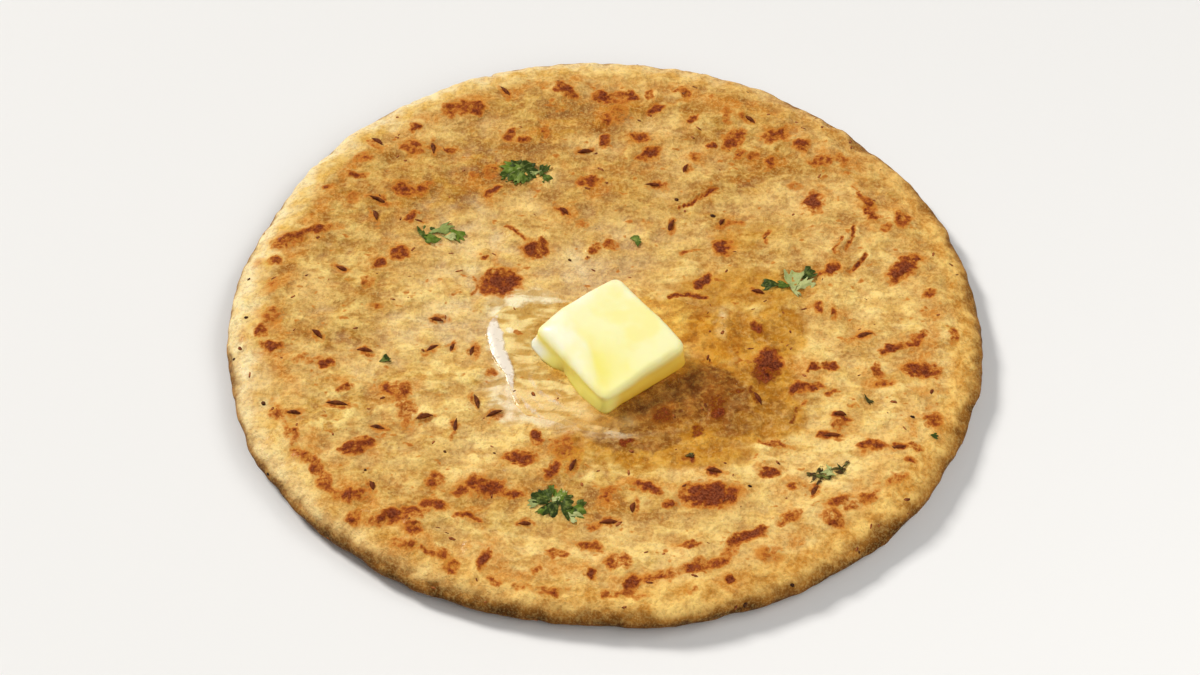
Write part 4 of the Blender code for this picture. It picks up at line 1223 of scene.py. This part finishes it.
view = {"distance": 804.0, "elevation": 48.64, "roll": 1.48, "lens": 90.6, "target": (-1.39, -4.7, 4.0)}
studio = {
    "key": {"turn": 143, "elevation": 38, "distance": 4000, "size": 900, "power": 141.0,
            "tint": (1.0, 0.97, 0.92)},
    "side": {"turn": 12, "elevation": 46, "distance": 2200, "size": 900, "power": 9.0,
             "tint": (1.0, 0.98, 0.95)},
    "fill": {"turn": -50, "elevation": 42, "distance": 800, "size": 700, "power": 2.6,
             "tint": (1.0, 0.98, 0.94)},
    "sky": 0.18,
    "floor": {"half": 3000.0, "level": -0.2, "tone": 0.86, "rough": 0.6},
}


def onSphere(turn, elevation, distance):
    turn, elevation = math.radians(turn), math.radians(elevation)
    level = math.cos(elevation)
    return Vector((level * math.cos(turn), level * math.sin(turn), math.sin(elevation))) * distance * mm


def makeCamera():
    target = Vector(np.array(view["target"]) + shift) * mm
    place = target + onSphere(-90, view["elevation"], view["distance"])
    data = bpy.data.cameras.new("camera")
    data.lens = view["lens"]
    camera = bpy.data.objects.new("camera", data)
    aim = (target - place).to_track_quat("-Z", "Y").to_matrix().to_4x4()
    roll = Matrix.Rotation(math.radians(view["roll"]), 4, "Z")
    camera.matrix_world = Matrix.Translation(place) @ aim @ roll
    bpy.context.scene.collection.objects.link(camera)
    bpy.context.scene.camera = camera


def makeLights():
    for name in ("key", "side", "fill"):
        lamp = studio[name]
        data = bpy.data.lights.new(name, "AREA")
        data.size, data.energy, data.color = lamp["size"] * mm, lamp["power"], lamp["tint"]
        light = bpy.data.objects.new(name, data)
        light.location = onSphere(lamp["turn"], lamp["elevation"], lamp["distance"])
        light.rotation_euler = (-light.location).to_track_quat("-Z", "Y").to_euler()
        bpy.context.scene.collection.objects.link(light)
    world = bpy.data.worlds.new("sky")
    world.use_nodes = True
    world.node_tree.nodes["Background"].inputs["Color"].default_value = (1.0, 1.0, 1.0, 1.0)
    world.node_tree.nodes["Background"].inputs["Strength"].default_value = studio["sky"]
    bpy.context.scene.world = world
    bpy.context.scene.view_settings.view_transform = "Standard"


def makeFloor():
    half, level, tone = (studio["floor"][name] for name in ("half", "level", "tone"))
    corners = [(-half, -half, level), (half, -half, level), (half, half, level), (-half, half, level)]
    floor = meshPiece("floor", corners, [(0, 1, 2, 3)], smooth=False)
    s = Shader("paleFloor")
    plain = s.principled({"Base Color": (tone, tone, tone, 1.0), "Roughness": studio["floor"]["rough"]})
    floor.data.materials.append(s.finish(plain))


makeCamera()
makeLights()
makeFloor()
print("camera, lights and floor are in place")

crust = makeBread()
handOver(crust, crustMaterial())
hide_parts("paratha")
print("bread made with", len(crust.data.polygons), "faces")

crustTree = BVHTree.FromObject(crust, bpy.context.evaluated_depsgraph_get())
pat = makeButter(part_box("butter_pat")[0].z / mm - 0.6)
handOver(pat, butterMaterial())
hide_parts("butter_pat")
melted = makePuddle()
handOver(melted, meltedMaterial())
print("butter made")

seedUnit, speckUnit = seedShape(), speckShape()
seedFinish = seedMaterial()
seeds = makeSeeds(crustTree, seedUnit, seedFinish)
handOver(seeds, seedFinish)
darkSpeck = speckMaterial("darkSpeck", paint(44, 22, 8), paint(92, 52, 22))
flecked = makeFlecks(crustTree, speckUnit, darkSpeck)
handOver(flecked, darkSpeck)
branSpeck = speckMaterial("branSpeck", paint(112, 54, 26), paint(172, 100, 50))
bran = grow("bran_flecks", crust.data, scatterTree(), {"Shape": speckUnit, **branForm, "Finish": branSpeck})
handOver(bran, branSpeck)
for unit in (seedUnit, speckUnit):
    bpy.data.objects.remove(unit, do_unlink=True)
leaves = makeLeaves(crustTree)
handOver(leaves, leafMaterial())
print("seeds, flecks and leaves laid on the crust")
